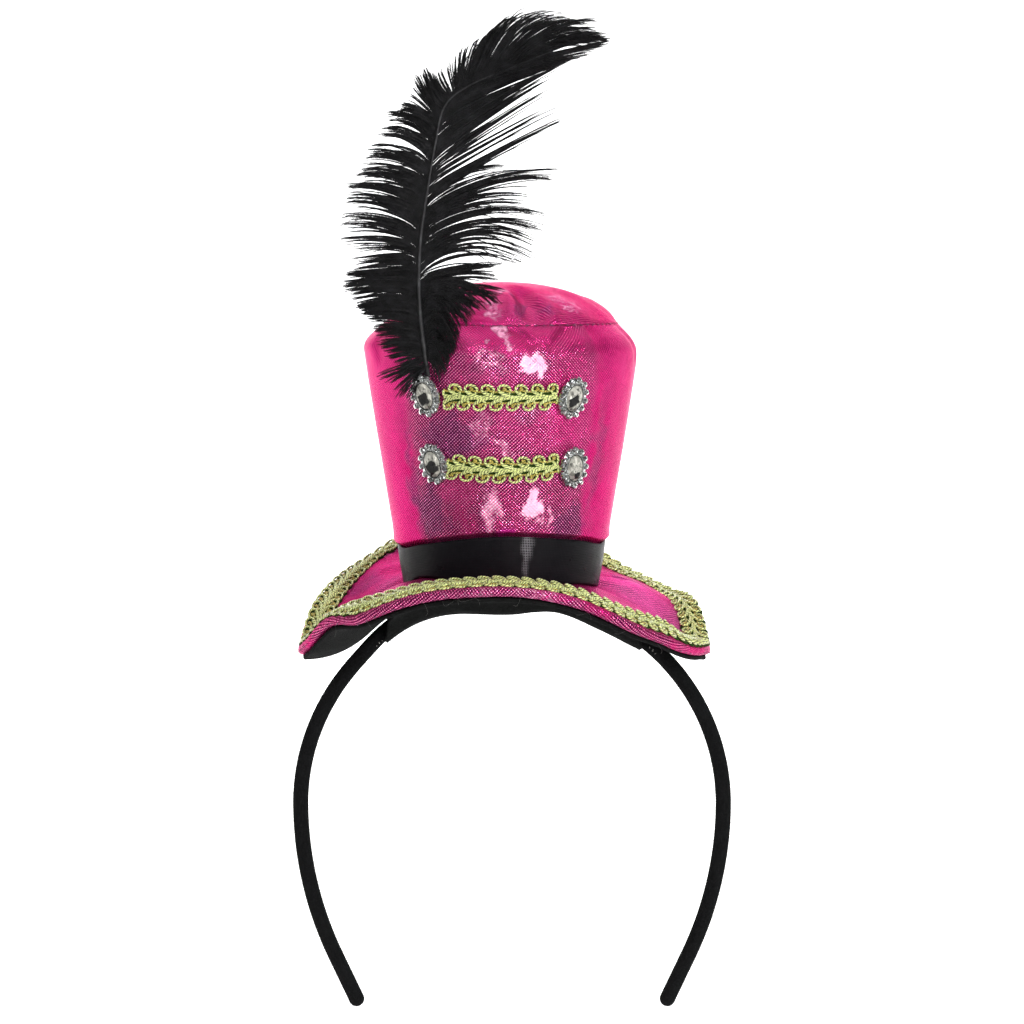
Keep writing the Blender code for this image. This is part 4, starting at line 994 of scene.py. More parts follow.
def makeCrownTip():
    turns = evenTurns(crown["turnSteps"])
    line = np.array(crown["dome"])
    walked = np.append(0, np.cumsum(np.hypot(*np.diff(line, axis=0).T)))
    steps = np.linspace(0, walked[-1], 46)[:-1]
    radius, height = [column[:, None] for column in throughTable(walked, line, steps)]
    lumps = ripple(turns, 11, [(4, 0.12), (9, 0.07)]) * bell(radius - 26, 9)
    outer = crownPoint(height - tipGather(turns, radius) + lumps, radius, turns)[::-1]
    inner = []
    for r, z in crown["tipLining"]:
        dip = tipGather(turns, np.array(r + 1.5))
        inner.append(crownPoint(np.maximum(z - dip, 89.8), r, turns))
    grid = np.concatenate([outer, np.array(inner)], 0)
    walked = np.append(walked[-1] - steps[::-1], [walked[-1] - 1, walked[-1] - 3, 0.8 * walked[-1], 16, 4])
    tip = ringShell("crownTip", grid, flatRound(walked, turns, mm), tipLame, joined=False, capped=True)
    wearAndPaintedLight = paintedLightAt(outer, turns[None, :], radius[::-1], crown["tipPaintedLight"]).reshape(-1, 3)
    wearAndPaintedLight = np.vstack([wearAndPaintedLight, np.zeros((len(inner) * len(turns) + 2, 3))])
    layCloth(tip, "lame", "crown_tip", wearAndPaintedLight)


def makeRibbon():
    turns = evenTurns(360)
    gap = hairGap / mm
    foot = crownFoot(turns, gap + 1.0) + 0.1
    drop = ribbonEdge(turns) - foot
    slack = ripple(turns, 23, [(6, 0.05), (15, 0.03)])
    rows, heights = [], []
    for t in np.linspace(0, 1, 22):
        z = foot + drop * t
        belly = 0.16 * math.sin(math.pi * t) + slack * math.sin(math.pi * t)
        hem = -0.12 if t in (0, 1) else 0.0
        rows.append(crownPoint(z, wallRadius(z, turns) + gap + 1.0 + belly + hem, turns))
        heights.append(z)
    for t in (1, 0):
        z = foot + drop * t
        rows.append(crownPoint(z, wallRadius(z, turns) + gap, turns))
        heights.append(z)
    grid, heights = np.array(rows), np.array(heights)
    around = np.append(turns, turnFull) * 31 * mm
    along = np.concatenate([heights, heights[:, :1]], 1) * mm
    ribbon = ringShell("satinRibbon", grid, np.stack([np.broadcast_to(around, along.shape), along], -1), satin)
    wearAndPaintedLight = paintedLightAt(grid, turns[None, :], heights, crown["ribbonPaintedLight"], 0.3)
    layCloth(ribbon, "satin", "hat_band", wearAndPaintedLight)


makeCrownSide()
makeCrownTip()
makeRibbon()
print("crown and ribbon made")


# Node trees that sweep cords along points, and what turns their result into a plain mesh

def geo(tree, kind, *inputs, **named):
    return addNode(tree, "GeometryNode" + kind, *inputs, **named)


def startTree(name, values):
    # the values are the tree's own inputs, by name, and come back as wires
    tree = bpy.data.node_groups.new(name, "GeometryNodeTree")
    for label in ("Geometry", "Material", *values):
        kind = {int: "Int", float: "Float"}.get(type(values.get(label)), label)
        socket = tree.interface.new_socket(label, in_out="INPUT", socket_type="NodeSocket" + kind)
        if label in values:
            socket.default_value = values[label]
    tree.interface.new_socket("Geometry", in_out="OUTPUT", socket_type="NodeSocketGeometry")
    return tree, {socket.name: Wire(socket) for socket in tree.nodes.new("NodeGroupInput").outputs}


def endTree(source, geometry, smooth=True):
    tree = treeOf(geometry)
    geometry = geo(tree, "SetShadeSmooth", Geometry=geometry, Shade_Smooth=smooth)
    geometry = geo(tree, "RealizeInstances", Geometry=geometry)
    geometry = geo(tree, "SetMaterial", Geometry=geometry, Material=source["Material"])
    plug(tree.nodes.new("NodeGroupOutput"), {0: geometry})
    return tree


def readField(tree, name, kind="FLOAT"):
    return geo(tree, "InputNamedAttribute", Name=name, data_type=kind)


def randomValue(tree, low, high, seed):
    return addNode(tree, "FunctionNodeRandomValue", None, None, low, high, Seed=seed, out=1, data_type="FLOAT")


def turnTo(lean):
    return addNode(treeOf(lean), "FunctionNodeAlignRotationToVector", Vector=lean, axis="Z")


def thornShape(tree, radius, length):
    return geo(
        tree, "MeshCone", Vertices=3, Side_Segments=1, Fill_Segments=1, Radius_Top=0.0, Radius_Bottom=radius,
        Depth=length,
    )


def joinParts(parts):
    join = treeOf(*parts).nodes.new("GeometryNodeJoinGeometry")
    for part in parts:
        plug(join, {0: part})
    return Wire(join.outputs[0])


def curvesThrough(source, closed=False):
    # points that carry strandId and order become one curve for each strand
    tree = treeOf(source["Geometry"])
    points = geo(tree, "MeshToPoints", Mesh=source["Geometry"])
    strands = readField(tree, "strandId", "INT")
    curves = geo(tree, "PointsToCurves", points, strands, Weight=readField(tree, "order"))
    return geo(tree, "SetSplineCyclic", Geometry=curves, Cyclic=closed)


def captureField(geometry, value):
    node = treeOf(value).nodes.new("GeometryNodeCaptureAttribute")
    node.capture_items.new("FLOAT", "Value")
    plug(node, {"Geometry": geometry, "Value": value})
    return Wire(node.outputs["Geometry"]), Wire(node.outputs["Value"])


def sweepCord(curve, radius, sides):
    # a tube along a curve that keeps, for its material, the angle round it and the length along it
    tree = treeOf(curve)
    curve, along = captureField(curve, geo(tree, "SplineParameter", out="Length"))
    ring = geo(tree, "CurvePrimitiveCircle", Resolution=sides, Radius=1.0)
    ring, around = captureField(ring, geo(tree, "SplineParameter", out="Factor"))
    tube = geo(tree, "CurveToMesh", Curve=curve, Profile_Curve=ring, Scale=radius, Fill_Caps=True)
    angle = around * turnFull
    strand = joinXyz(calc("COSINE", angle), calc("SINE", angle), along)
    return geo(
        tree, "StoreNamedAttribute", Geometry=tube, Name="strand", Value=strand, data_type="FLOAT_VECTOR",
        domain="POINT",
    )


def cordTree(name, values):
    tree, source = startTree(name, values)
    radius = readField(tree, "thick") * source["Radius"]
    return endTree(source, sweepCord(curvesThrough(source), radius, source["Sides"]))


def strandFields(lines, **fields):
    # which strand each point is on, its place along it, and other fields laid out like the lines
    count, steps = lines.shape[:2]
    fields = {name: values.ravel() for name, values in fields.items()}
    order = np.tile(np.arange(steps) * 1.0, count)
    return {"strandId": np.repeat(np.arange(count), steps), "order": order, **fields}


def growPiece(name, slot, node, points, tree, material, values, **fields):
    # runs a tree on points that carry fields, and keeps the result as a plain mesh
    points = np.asarray(points, np.float32).reshape(-1, 3)
    mesh = bpy.data.meshes.new(name + "Points")
    mesh.vertices.add(len(points))
    mesh.vertices.foreach_set("co", points.ravel())
    fields.setdefault("strandId", np.zeros(len(points), int))
    fields.setdefault("order", np.arange(len(points)) * 1.0)
    for key, rows in fields.items():
        storeField(mesh, key, rows)
    carrier = linkObject(name + "Points", mesh)
    modifier = carrier.modifiers.new(tree.name, "NODES")
    modifier.node_group = tree
    sockets = {s.name: s.identifier for s in tree.interface.items_tree if s.in_out == "INPUT"}
    for key, value in {"Material": material, **values}.items():
        modifier[sockets[key]] = value
    bpy.context.view_layer.update()
    made = carrier.evaluated_get(bpy.context.evaluated_depsgraph_get())
    mesh = bpy.data.meshes.new_from_object(made)
    carrier.modifiers.remove(modifier)
    bpy.data.objects.remove(carrier)
    mesh.name = name
    return ridePiece(linkObject(name, mesh), slot, *([node] if node else []))


# Headband: a sprung rod wound with black cloth, and the felt patch that holds it

bandLook = {
    "legRadius": 112 * mm,
    "legAngle": 25.0,
    "endStraight": 15.5 * mm,
    "domeTurns": [12, 24, 36, 48, 60, 70, 78, 84],
    "lumpScale": 260.0,
    "winding": {"Step": 0.24 * mm, "Sides": 22, "Rib Pitch": 0.95 * mm, "Rib Height": 0.055 * mm},
}

patchLook = {
    "walls": [
        (-37.0, 0.4), (-24, 1.0), (-15, 1.9), (-7, 2.8), (0, 3.0), (6, 2.1), (13, 1.1), (25, 1.8), (34, 1.3),
        (39, 0.4),
    ],
    "taper": 0.6,
    "hold": [(0, 0), (2.2, 0), (4.6, 0.18), (8.0, 0.85), (13.0, 1.0)],
    "gap": 0.5 * mm,
    "cut": (0.093, 0.031),
}


def rodLine():
    look = bandLook
    top, centre, reach = saddle["topRadius"], saddle["centreZ"], look["legRadius"]
    lean = math.radians(look["legAngle"])
    turns = np.radians(np.linspace(-90, 90, 241))
    radius = rodDistance(turns)
    arch = np.stack([radius * np.sin(turns), 0 * turns, centre + radius * np.cos(turns)], -1)
    a = np.linspace(0, lean, 60)[1:]
    leg = np.stack([top - reach * (1 - np.cos(a)), 0 * a, centre - reach * np.sin(a)], -1)
    foot, ahead = leg[-1], np.array([-math.sin(lean), 0, -math.cos(lean)])
    straight = foot + ahead * np.linspace(0, look["endStraight"], 24)[1:, None]
    domeTurns = np.radians(look["domeTurns"])
    dome = foot + ahead * (look["endStraight"] + saddle["rodRadius"] * np.sin(domeTurns))[:, None]
    leg = np.concatenate([leg, straight, dome])
    thick = np.concatenate([np.ones(len(leg) - len(dome)), np.cos(domeTurns)])
    line = np.concatenate([leg[::-1] * [-1, 1, 1], arch, leg])
    return line, np.concatenate([thick[::-1], np.ones(len(arch)), thick]) * saddle["rodRadius"]


def makeBand():
    values = bandLook["winding"]
    tree, source = startTree("woundRod", values)
    curve = geo(tree, "ResampleCurve", Curve=curvesThrough(source), Length=source["Step"], mode="LENGTH")
    tube = sweepCord(curve, readField(tree, "thick"), source["Sides"])
    cosine, sine, along = splitXyz(readField(tree, "strand", "FLOAT_VECTOR"))
    phase = along / source["Rib Pitch"] * turnFull + calc("ARCTAN2", sine, cosine)
    rib = abs(calc("SINE", phase * 0.5)) ** 0.6
    lump = addNode(tree, "ShaderNodeTexNoise", Scale=bandLook["lumpScale"], Detail=2.0)
    rise = (rib - 1.0 + lump) * source["Rib Height"]
    endTree(source, geo(tree, "SetPosition", Geometry=tube, Offset=geo(tree, "InputNormal") * rise))
    line, thick = rodLine()
    return growPiece("headbandWrap", "band_wrap", "headband", line, tree, wrapBlack, values, thick=thick)


def makePatch():
    look = patchLook
    low, high = look["walls"][0][0], look["walls"][-1][0]
    turns = np.radians(np.linspace(low, high, 90))[:, None]
    ends = smoothStep((np.abs(turns - turns.mean()) - turns.max() + turns.mean() + 0.16) / 0.16)
    across = np.linspace(-13, 13, 41)[None, :] * mm * (1 - look["taper"] * ends)
    inside = rodDistance(turns) - saddle["rodRadius"] - hairGap
    free = np.broadcast_to(rodDistance(turns) + saddle["rodRadius"], (90, 41))
    for _ in range(8):
        level = underside(free * np.sin(turns), across) - look["gap"] / np.cos(turns)
        free = (level - saddle["centreZ"]) / np.cos(turns)
    upper = inside + (free - inside) * throughRows(look["hold"], np.abs(across) / mm)
    wall = throughRows(look["walls"], np.degrees(turns)) * mm
    edge = 1 - 0.35 * smoothStep((np.abs(across) / mm - 11.5) / 1.5)
    lower = upper - wall * edge
    for a, b, c in np.random.default_rng(8).normal(size=(14, 3)):
        lower = lower + 0.05 * mm * a * np.sin(9 * turns * (1 + 0.3 * b) + across / mm * 0.35 * c)
    radius = np.concatenate([upper, lower[:, ::-1]], 1)
    y = np.concatenate([across, across[:, ::-1]], 1)
    grid = np.stack([radius * np.sin(turns), y, saddle["centreZ"] + radius * np.cos(turns)], -1)
    flats = np.stack([np.broadcast_to(turns * saddle["topRadius"], radius.shape), y], -1)
    flats = np.concatenate([flats, flats[:, :1]], 1)
    patch = ringShell("feltPatch", grid, flats, feltBlack, joined=False, capped=True)
    return layCloth(patch, "felt", "felt_patch")


bandWrap = makeBand()
feltPatch = makePatch()
print("headband and patch made")


# Gimp braid: looped cords on both sides of a plait, on a narrow dark net that is painted shade, standing in for the
# shadow under the loops

gimp = {
    "width": 8.4 * mm,
    "brimLoops": 92,
    "frontLoops": 7,
    "sides": 6,
    # cords that loop: reach along, centre across, reach across, height, swing of the height, lean, radius, all in mm
    "rims": [(2.80, 1.93, 1.80, 0.62, 0.30, 0.8, 0.38), (0.9, 1.02, 0.72, 0.66, 0.10, 1.7, 0.29)],
    "eyes": [(1.30, 2.25, 0.60, 0.36, 0.08, 0.3, 0.32)],
    # cords along the middle: their place in the twist, swing across, height and swing of the height in mm, radius
    "spine": [(0.0, 0.30, 0.75, 0.24, 0.26), (0.5, 0.30, 0.75, 0.24, 0.26)],
    "brimLift": 0.7 * mm,
    # how far the braid leans outwards round the brim, both in degrees, with the front at 0
    "brimLean": [
        (-180, -4), (-150, -8), (-120, -4), (-95, 2), (-70, 10), (-40, 16), (0, 17), (40, 16), (70, 10),
        (90, 0), (110, -14), (135, -18), (155, -14), (180, -4),
    ],
    "loopSteps": 22,
    "eyeSteps": 14,
    "spineSteps": 8,
    # the net's half width, scallop, lower and upper face: on the crown, and wider round the brim. The net is a dark
    # sheet of painted shade under the loops
    "frontShadowNet": (2.30 * mm, 0.85 * mm, 0.05 * mm, 0.36 * mm),
    "brimShadowNet": (3.75 * mm, 0.55 * mm, -0.30 * mm, 0.30 * mm),
}


def gimpTree(name, cords, closed, steps, values):
    # each cord: side, phase, waves for each loop, reach along, centre, reach across, height, its swing, waves and
    # phase, and how far the loops lean along the braid
    tree, source = startTree(name, values)
    path = curvesThrough(source, closed)
    length = geo(tree, "CurveLength", Curve=path)
    pitch = length / source["Loops"]
    count = source["Loops"] * steps + (0 if closed else 1)
    loopsDone = geo(tree, "InputIndex") / steps
    strands = []
    for side, phase, waves, reach, centre, swing, height, lift, liftWaves, liftPhase, lean in cords:
        line = geo(tree, "CurvePrimitiveLine", End=(1.0, 0.0, 0.0))
        line = geo(tree, "ResampleCurve", Curve=line, Count=count)
        angle = (loopsDone * waves + phase) * turnFull
        liftAngle = (loopsDone * liftWaves + liftPhase) * turnFull
        cosine = calc("COSINE", angle)
        along = loopsDone * pitch - calc("SINE", angle) * (reach * mm) - cosine * (0.5 * lean * mm)
        along = along % length if closed else calc("MINIMUM", calc("MAXIMUM", along, 0.0), length)
        across = (cosine * (swing * mm) + centre * mm) * side
        rise = calc("SINE", liftAngle) * (lift * mm) + height * mm
        up = readField(tree, "up", "FLOAT_VECTOR")
        sample = makeNode(
            tree, "GeometryNodeSampleCurve", path, up, Length=along, mode="LENGTH", data_type="FLOAT_VECTOR"
        )
        up, spot, tangent = [Wire(sample.outputs[key]) for key in (0, "Position", "Tangent")]
        up = vecCalc("NORMALIZE", up)
        sideways = vecCalc("NORMALIZE", vecCalc("CROSS_PRODUCT", up, tangent))
        line = geo(tree, "SetPosition", Geometry=line, Position=spot + sideways * across + up * rise)
        line = geo(tree, "SetSplineCyclic", Geometry=line, Cyclic=closed)
        strands.append(sweepCord(line, source["Cord Radius"], source["Sides"]))
    return endTree(source, joinParts(strands))


def loopRows(cord):
    # a looping cord on each side, half a loop apart
    reach, centre, swing, height, lift, lean, _ = cord
    sides = ((1, 0.25), (-1, 0.75))
    return [(side, phase, 1.0, reach, centre, swing, height, lift, 1.0, phase, lean) for side, phase in sides]


def makeGimp(name, path, up, closed, loops, node):
    # rims of light cord, darker eyes inside them and a twisted spine, each a piece of its own
    steps = gimp["loopSteps"]
    jobs = [("Rim" + "AB"[i], loopRows(cord), cord[-1], goldCord, steps) for i, cord in enumerate(gimp["rims"])]
    jobs += [("Eyes", loopRows(cord), cord[-1], oliveCord, gimp["eyeSteps"]) for cord in gimp["eyes"]]
    spine = [(1, p, 1.0, 0.0, 0.0, swing, z, lift, 2.0, 2 * p, 0.0) for p, swing, z, lift, _ in gimp["spine"]]
    jobs.append(("Spine", spine, gimp["spine"][0][-1], goldCord, gimp["spineSteps"]))
    for part, rows, radius, material, steps in jobs:
        values = {"Loops": loops, "Cord Radius": radius * mm, "Sides": gimp["sides"]}
        tree = gimpTree(name + part, rows, closed, steps, values)
        growPiece(name + part, "gimp", node if part == "RimA" else None, path, tree, material, values, up=up)


def makeShadowNet(name, points, up, closed, loops, sizes):
    # the dark net under the cords, a sheet of painted shade, scalloped with the loops on both sides
    count = len(points)
    half, scallop, low, high = sizes
    places = np.arange(count) / (count if closed else count - 1) * loops * turnFull
    ahead = np.roll(points, -1, 0) - np.roll(points, 1, 0)
    if not closed:
        ahead[0], ahead[-1] = points[1] - points[0], points[-1] - points[-2]
    sideways = unit(np.cross(up, ahead))
    left = points + sideways * (half + scallop * np.cos(places + 0.5 * math.pi))[:, None]
    right = points - sideways * (half + scallop * np.cos(places - 0.5 * math.pi))[:, None]
    grid = np.array([left + up * low, left + up * high, right + up * high, right + up * low])
    if not closed:
        grid = grid.transpose(1, 0, 2)
    flats = np.concatenate([grid, grid[:, :1]], 1)[..., :2]
    ridePiece(ringShell(name, grid, flats, shadowNetBlack, joined=closed, capped=not closed), "gimp")


def brimLine(steps):
    # the braid's line round the brim, where it stands up from the edge and leans outwards over the roll
    share = 0.985 - 0.5 * gimp["width"] / saddle["halfX"]
    points = brimPoint(share, math.pi + evenTurns(steps), saddle["depth"] + gimp["brimLift"])
    out = unit((points - [saddle["brimX"], 0, 0]) * [1, 1, 0])
    turn = np.degrees(np.arctan2(out[:, 0], -out[:, 1]))
    lean = np.tan(np.radians(throughRows(gimp["brimLean"], turn, closed=True)))[:, None]
    return points, unit(saddleFrame(points[:, 0], points[:, 1]) + lean * out)


def makeBrimGimp():
    loops = gimp["brimLoops"]
    makeGimp("brimGimp", *brimLine(720), True, loops, "brim_braid")
    makeShadowNet("brimGimpShadowNet", *brimLine(8 * loops), True, loops, gimp["brimShadowNet"])


frogs = {
    # name, node, height, left and right azimuth in degrees, sag
    "rows": [
        ("upperGimp", "upper_front_braid", 69.0, -24.0, 24.0, 0.2),
        ("lowerGimp", "lower_front_braid", 48.3, -24.5, 27.0, 1.0),
    ],
    "outset": 0.25,
}


def makeFrogs():
    flare, loops = math.atan(crown["flare"]), gimp["frontLoops"]
    for name, node, height, left, right, sag in frogs["rows"]:
        azimuth = np.radians(np.linspace(left, right, 8 * loops + 1))
        middle, half = 0.5 * (azimuth[0] + azimuth[-1]), 0.5 * (azimuth[-1] - azimuth[0])
        z = height - sag * (1 - ((azimuth - middle) / half) ** 2)
        points = crownPoint(z, fullRadius(z) + frogs["outset"], azimuth)
        up = np.stack([np.sin(azimuth), -np.cos(azimuth), np.full(len(azimuth), -math.tan(flare))], -1)
        up = up * math.cos(flare)
        makeGimp(name, points, up, False, loops, node)
        makeShadowNet(name + "ShadowNet", points, up, False, loops, gimp["frontShadowNet"])


makeBrimGimp()
makeFrogs()
print("gimp braids made")


# Jewels: a plate with a raised seat, a ring of beads and a cut stone, four times

jewelLook = {
    "plate": (4.0 * mm, 5.5 * mm),
    "seat": (2.85 * mm, 4.15 * mm),
    "seatTop": 1.7 * mm,
    "seatFloor": 0.6 * mm,
    "rim": 0.42 * mm,
    "beads": 12,
    "beadRadius": 1.1 * mm,
    "beadSeed": 4,
    "stoneClear": 0.25 * mm,
    "girdle": (1.5 * mm, 1.8 * mm),
    "crownRise": 1.25 * mm,
    "stoneSides": 14,
    # rings of a stone: share of the half size, share of the crown's rise, and whether turned by half a step
    "facets": [(1.0, 0.0, 0), (0.83, 0.58, 1), (0.60, 1.0, 0), (0.44, 1.0, 1), (0.24, 1.0, 0)],
    "toneSeed": 60,
    # place, height in mm, azimuth and lean in degrees, lift in mm
    "places": [
        ("upper_left", 69.5, -31.3, 10, 1.3),
        ("lower_left", 48.9, -31.6, 12, 0.0),
        ("upper_right", 68.6, 31.1, -13, 0.0),
        ("lower_right", 47.7, 34.8, 4, 0.0),
    ],
    # the dark square of each stone, a painted reflection: its middle and half sizes as shares of the stone, and its
    # turn in degrees
    "reflectionSquares": [
        (0.15, -0.20, 0.62, 0.46, 12), (0.12, -0.22, 0.72, 0.52, 20), (-0.22, -0.20, 0.56, 0.38, 35),
        (-0.05, -0.50, 0.36, 0.26, 10),
    ],
}


def pieceName(stem, name):
    return stem + name.title().replace("_", "")


def layOnCrown(points, height, azimuth, lean, lift):
    # from a jewel's own frame to the crown's flaring wall
    azimuth, flare = math.radians(azimuth), math.atan(crown["flare"])
    out = np.array([math.sin(azimuth) * math.cos(flare), -math.cos(azimuth) * math.cos(flare), -math.sin(flare)])
    across = np.array([math.cos(azimuth), math.sin(azimuth), 0.0])
    spot = crownPoint(height, fullRadius(height), azimuth) + out * (hairGap + lift * mm)
    x, y, z = np.moveaxis(np.asarray(points, float), -1, 0)
    x, y = inOval(x, y, 1.0, 1.0, -lean)
    return spot + x[..., None] * across + y[..., None] * np.cross(out, across) + z[..., None] * out


def ovalRing(half, level, turns, grow=0.0):
    # an oval widened by the same amount all round
    x, y = half[0] * np.cos(turns), half[1] * np.sin(turns)
    nx, ny = np.cos(turns) / half[0], np.sin(turns) / half[1]
    size = np.hypot(nx, ny)
    return np.stack([x + grow * nx / size, y + grow * ny / size, np.full_like(turns, level)], -1)


def beadSpots():
    look = jewelLook
    turns = evenTurns(2000)
    line = ovalRing(look["plate"], look["beadRadius"], turns)
    walked = np.cumsum(np.linalg.norm(np.roll(line, -1, 0) - line, axis=1))
    return line[np.searchsorted(walked, walked[-1] * (np.arange(look["beads"]) + 0.01) / look["beads"])]


def beadTree(values):
    tree, source = startTree("beadRing", values)
    points = geo(tree, "MeshToPoints", Mesh=source["Geometry"])
    ball = geo(tree, "MeshIcoSphere", Radius=source["Bead Radius"], Subdivisions=2)
    size = randomValue(tree, 0.93, 1.04, source["Seed"])
    turn = addNode(
        tree, "FunctionNodeRandomValue", (0, 0, 0), (6, 6, 6), Seed=source["Seed"], data_type="FLOAT_VECTOR"
    )
    beads = geo(tree, "InstanceOnPoints", Points=points, Instance=ball, Scale=size, Rotation=turn)
    return endTree(source, beads, smooth=False)


def makeSetting(name, place):
    look = jewelLook
    seat, plate, rim, top, floor = [look[key] for key in ("seat", "plate", "rim", "seatTop", "seatFloor")]
    tiny = (0.04 * seat[0], 0.04 * seat[1])
    # rings of oval, level and growth: the seat's floor and wall, its rolled rim, and the plate
    rows = [(tiny, floor, 0.0), (seat, floor, -0.02 * mm), (seat, top - 0.1 * mm, 0.0)]
    for a in np.radians([150, 110, 70, 30]):
        rows.append((seat, top - 0.12 * mm + 0.16 * mm * math.sin(a), rim * (0.5 + 0.5 * math.cos(a))))
    rows += [(seat, 1.1 * mm, rim), (seat, 0.95 * mm, rim + 0.1 * mm), (plate, 0.9 * mm, 0.35 * mm)]
    rows += [(plate, 0.75 * mm, 0.5 * mm), (plate, 0.1 * mm, 0.5 * mm), (plate, 0.0, 0.4 * mm), (tiny, 0.0, 0.0)]
    turns = evenTurns(96)
    grid = layOnCrown(np.array([ovalRing(oval, level, turns, growth) for oval, level, growth in rows]), *place)
    flats = np.concatenate([grid, grid[:, :1]], 1)[..., :2]
    holder = ringShell(pieceName("setting", name), grid, flats, darkSilver, joined=False, capped=True)
    ridePiece(holder, "gunmetal", "setting_" + name)
    values = {"Bead Radius": look["beadRadius"], "Seed": look["beadSeed"]}
    spots = layOnCrown(beadSpots(), *place)
    growPiece(pieceName("beads", name), "gunmetal", None, spots, beadTree(values), darkSilver, values)


def makeGem(name, place, reflectionSquare, seed):
    look = jewelLook
    sides, clear, rise = look["stoneSides"], look["stoneClear"], look["crownRise"]
    half = tuple(h - clear for h in look["seat"])
    low, high = look["girdle"]
    turns = evenTurns(sides)
    rows = [(0.55, look["seatFloor"] + clear, 0), (1.0, low, 0)]
    rows += [(s, high + share * rise, shift) for s, share, shift in look["facets"]]
    rings = [ovalRing((half[0] * s, half[1] * s), z, turns + math.pi / sides * shift) for s, z, shift in rows]
    points = np.concatenate(rings + [[(0, 0, high + rise)], [(0, 0, rows[0][1])]])
    faces = []
    for r, (row, upper) in enumerate(zip(rows, rows[1:])):
        for i in range(sides):
            j = (i + 1) % sides
            a, b, c, d = r * sides + i, r * sides + j, (r + 1) * sides + j, (r + 1) * sides + i
            if row[2] == upper[2]:
                faces.append((a, b, c, d))
            else:
                faces += [(a, b, d), (b, c, d)] if row[2] < upper[2] else [(a, b, c), (a, c, d)]
    last, hub = (len(rows) - 1) * sides, len(points) - 2
    for i in range(sides):
        j = (i + 1) % sides
        faces += [(last + i, last + j, hub), (j, i, hub + 1)]
    laid = layOnCrown(points, *place).tolist()
    gem = pointOutward(dressMesh(pieceName("stone", name), laid, faces, smokyStone, smooth=False))
    # painted reflections: pale facets, lighter towards the stone's upper end, and the place of every point round the
    # stone's dark square
    dice = np.random.default_rng(seed)
    middles = np.array([points[list(face)].mean(0) for face in faces])
    tone = 0.58 + 0.14 * middles[:, 1] / half[1] + 0.24 * dice.normal(size=len(faces))
    storeField(gem.data, "tone", np.clip(tone, 0.15, 1.0), "FACE")
    x, y, *oval = reflectionSquare
    across, along = inOval(points[:, 0] / half[0] - x, points[:, 1] / half[1] - y, *oval)
    storeField(gem.data, "shade", np.stack([across, along, 0 * across], -1))
    ridePiece(gem, "smoke_stone", "stone_" + name)


for order, (name, *place) in enumerate(jewelLook["places"]):
    makeSetting(name, place)
    makeGem(name, place, jewelLook["reflectionSquares"][order], jewelLook["toneSeed"] + order)
print("jewels made")


# Plume: a quill, long barbs on both sides in clumped locks, and short barbules all along them

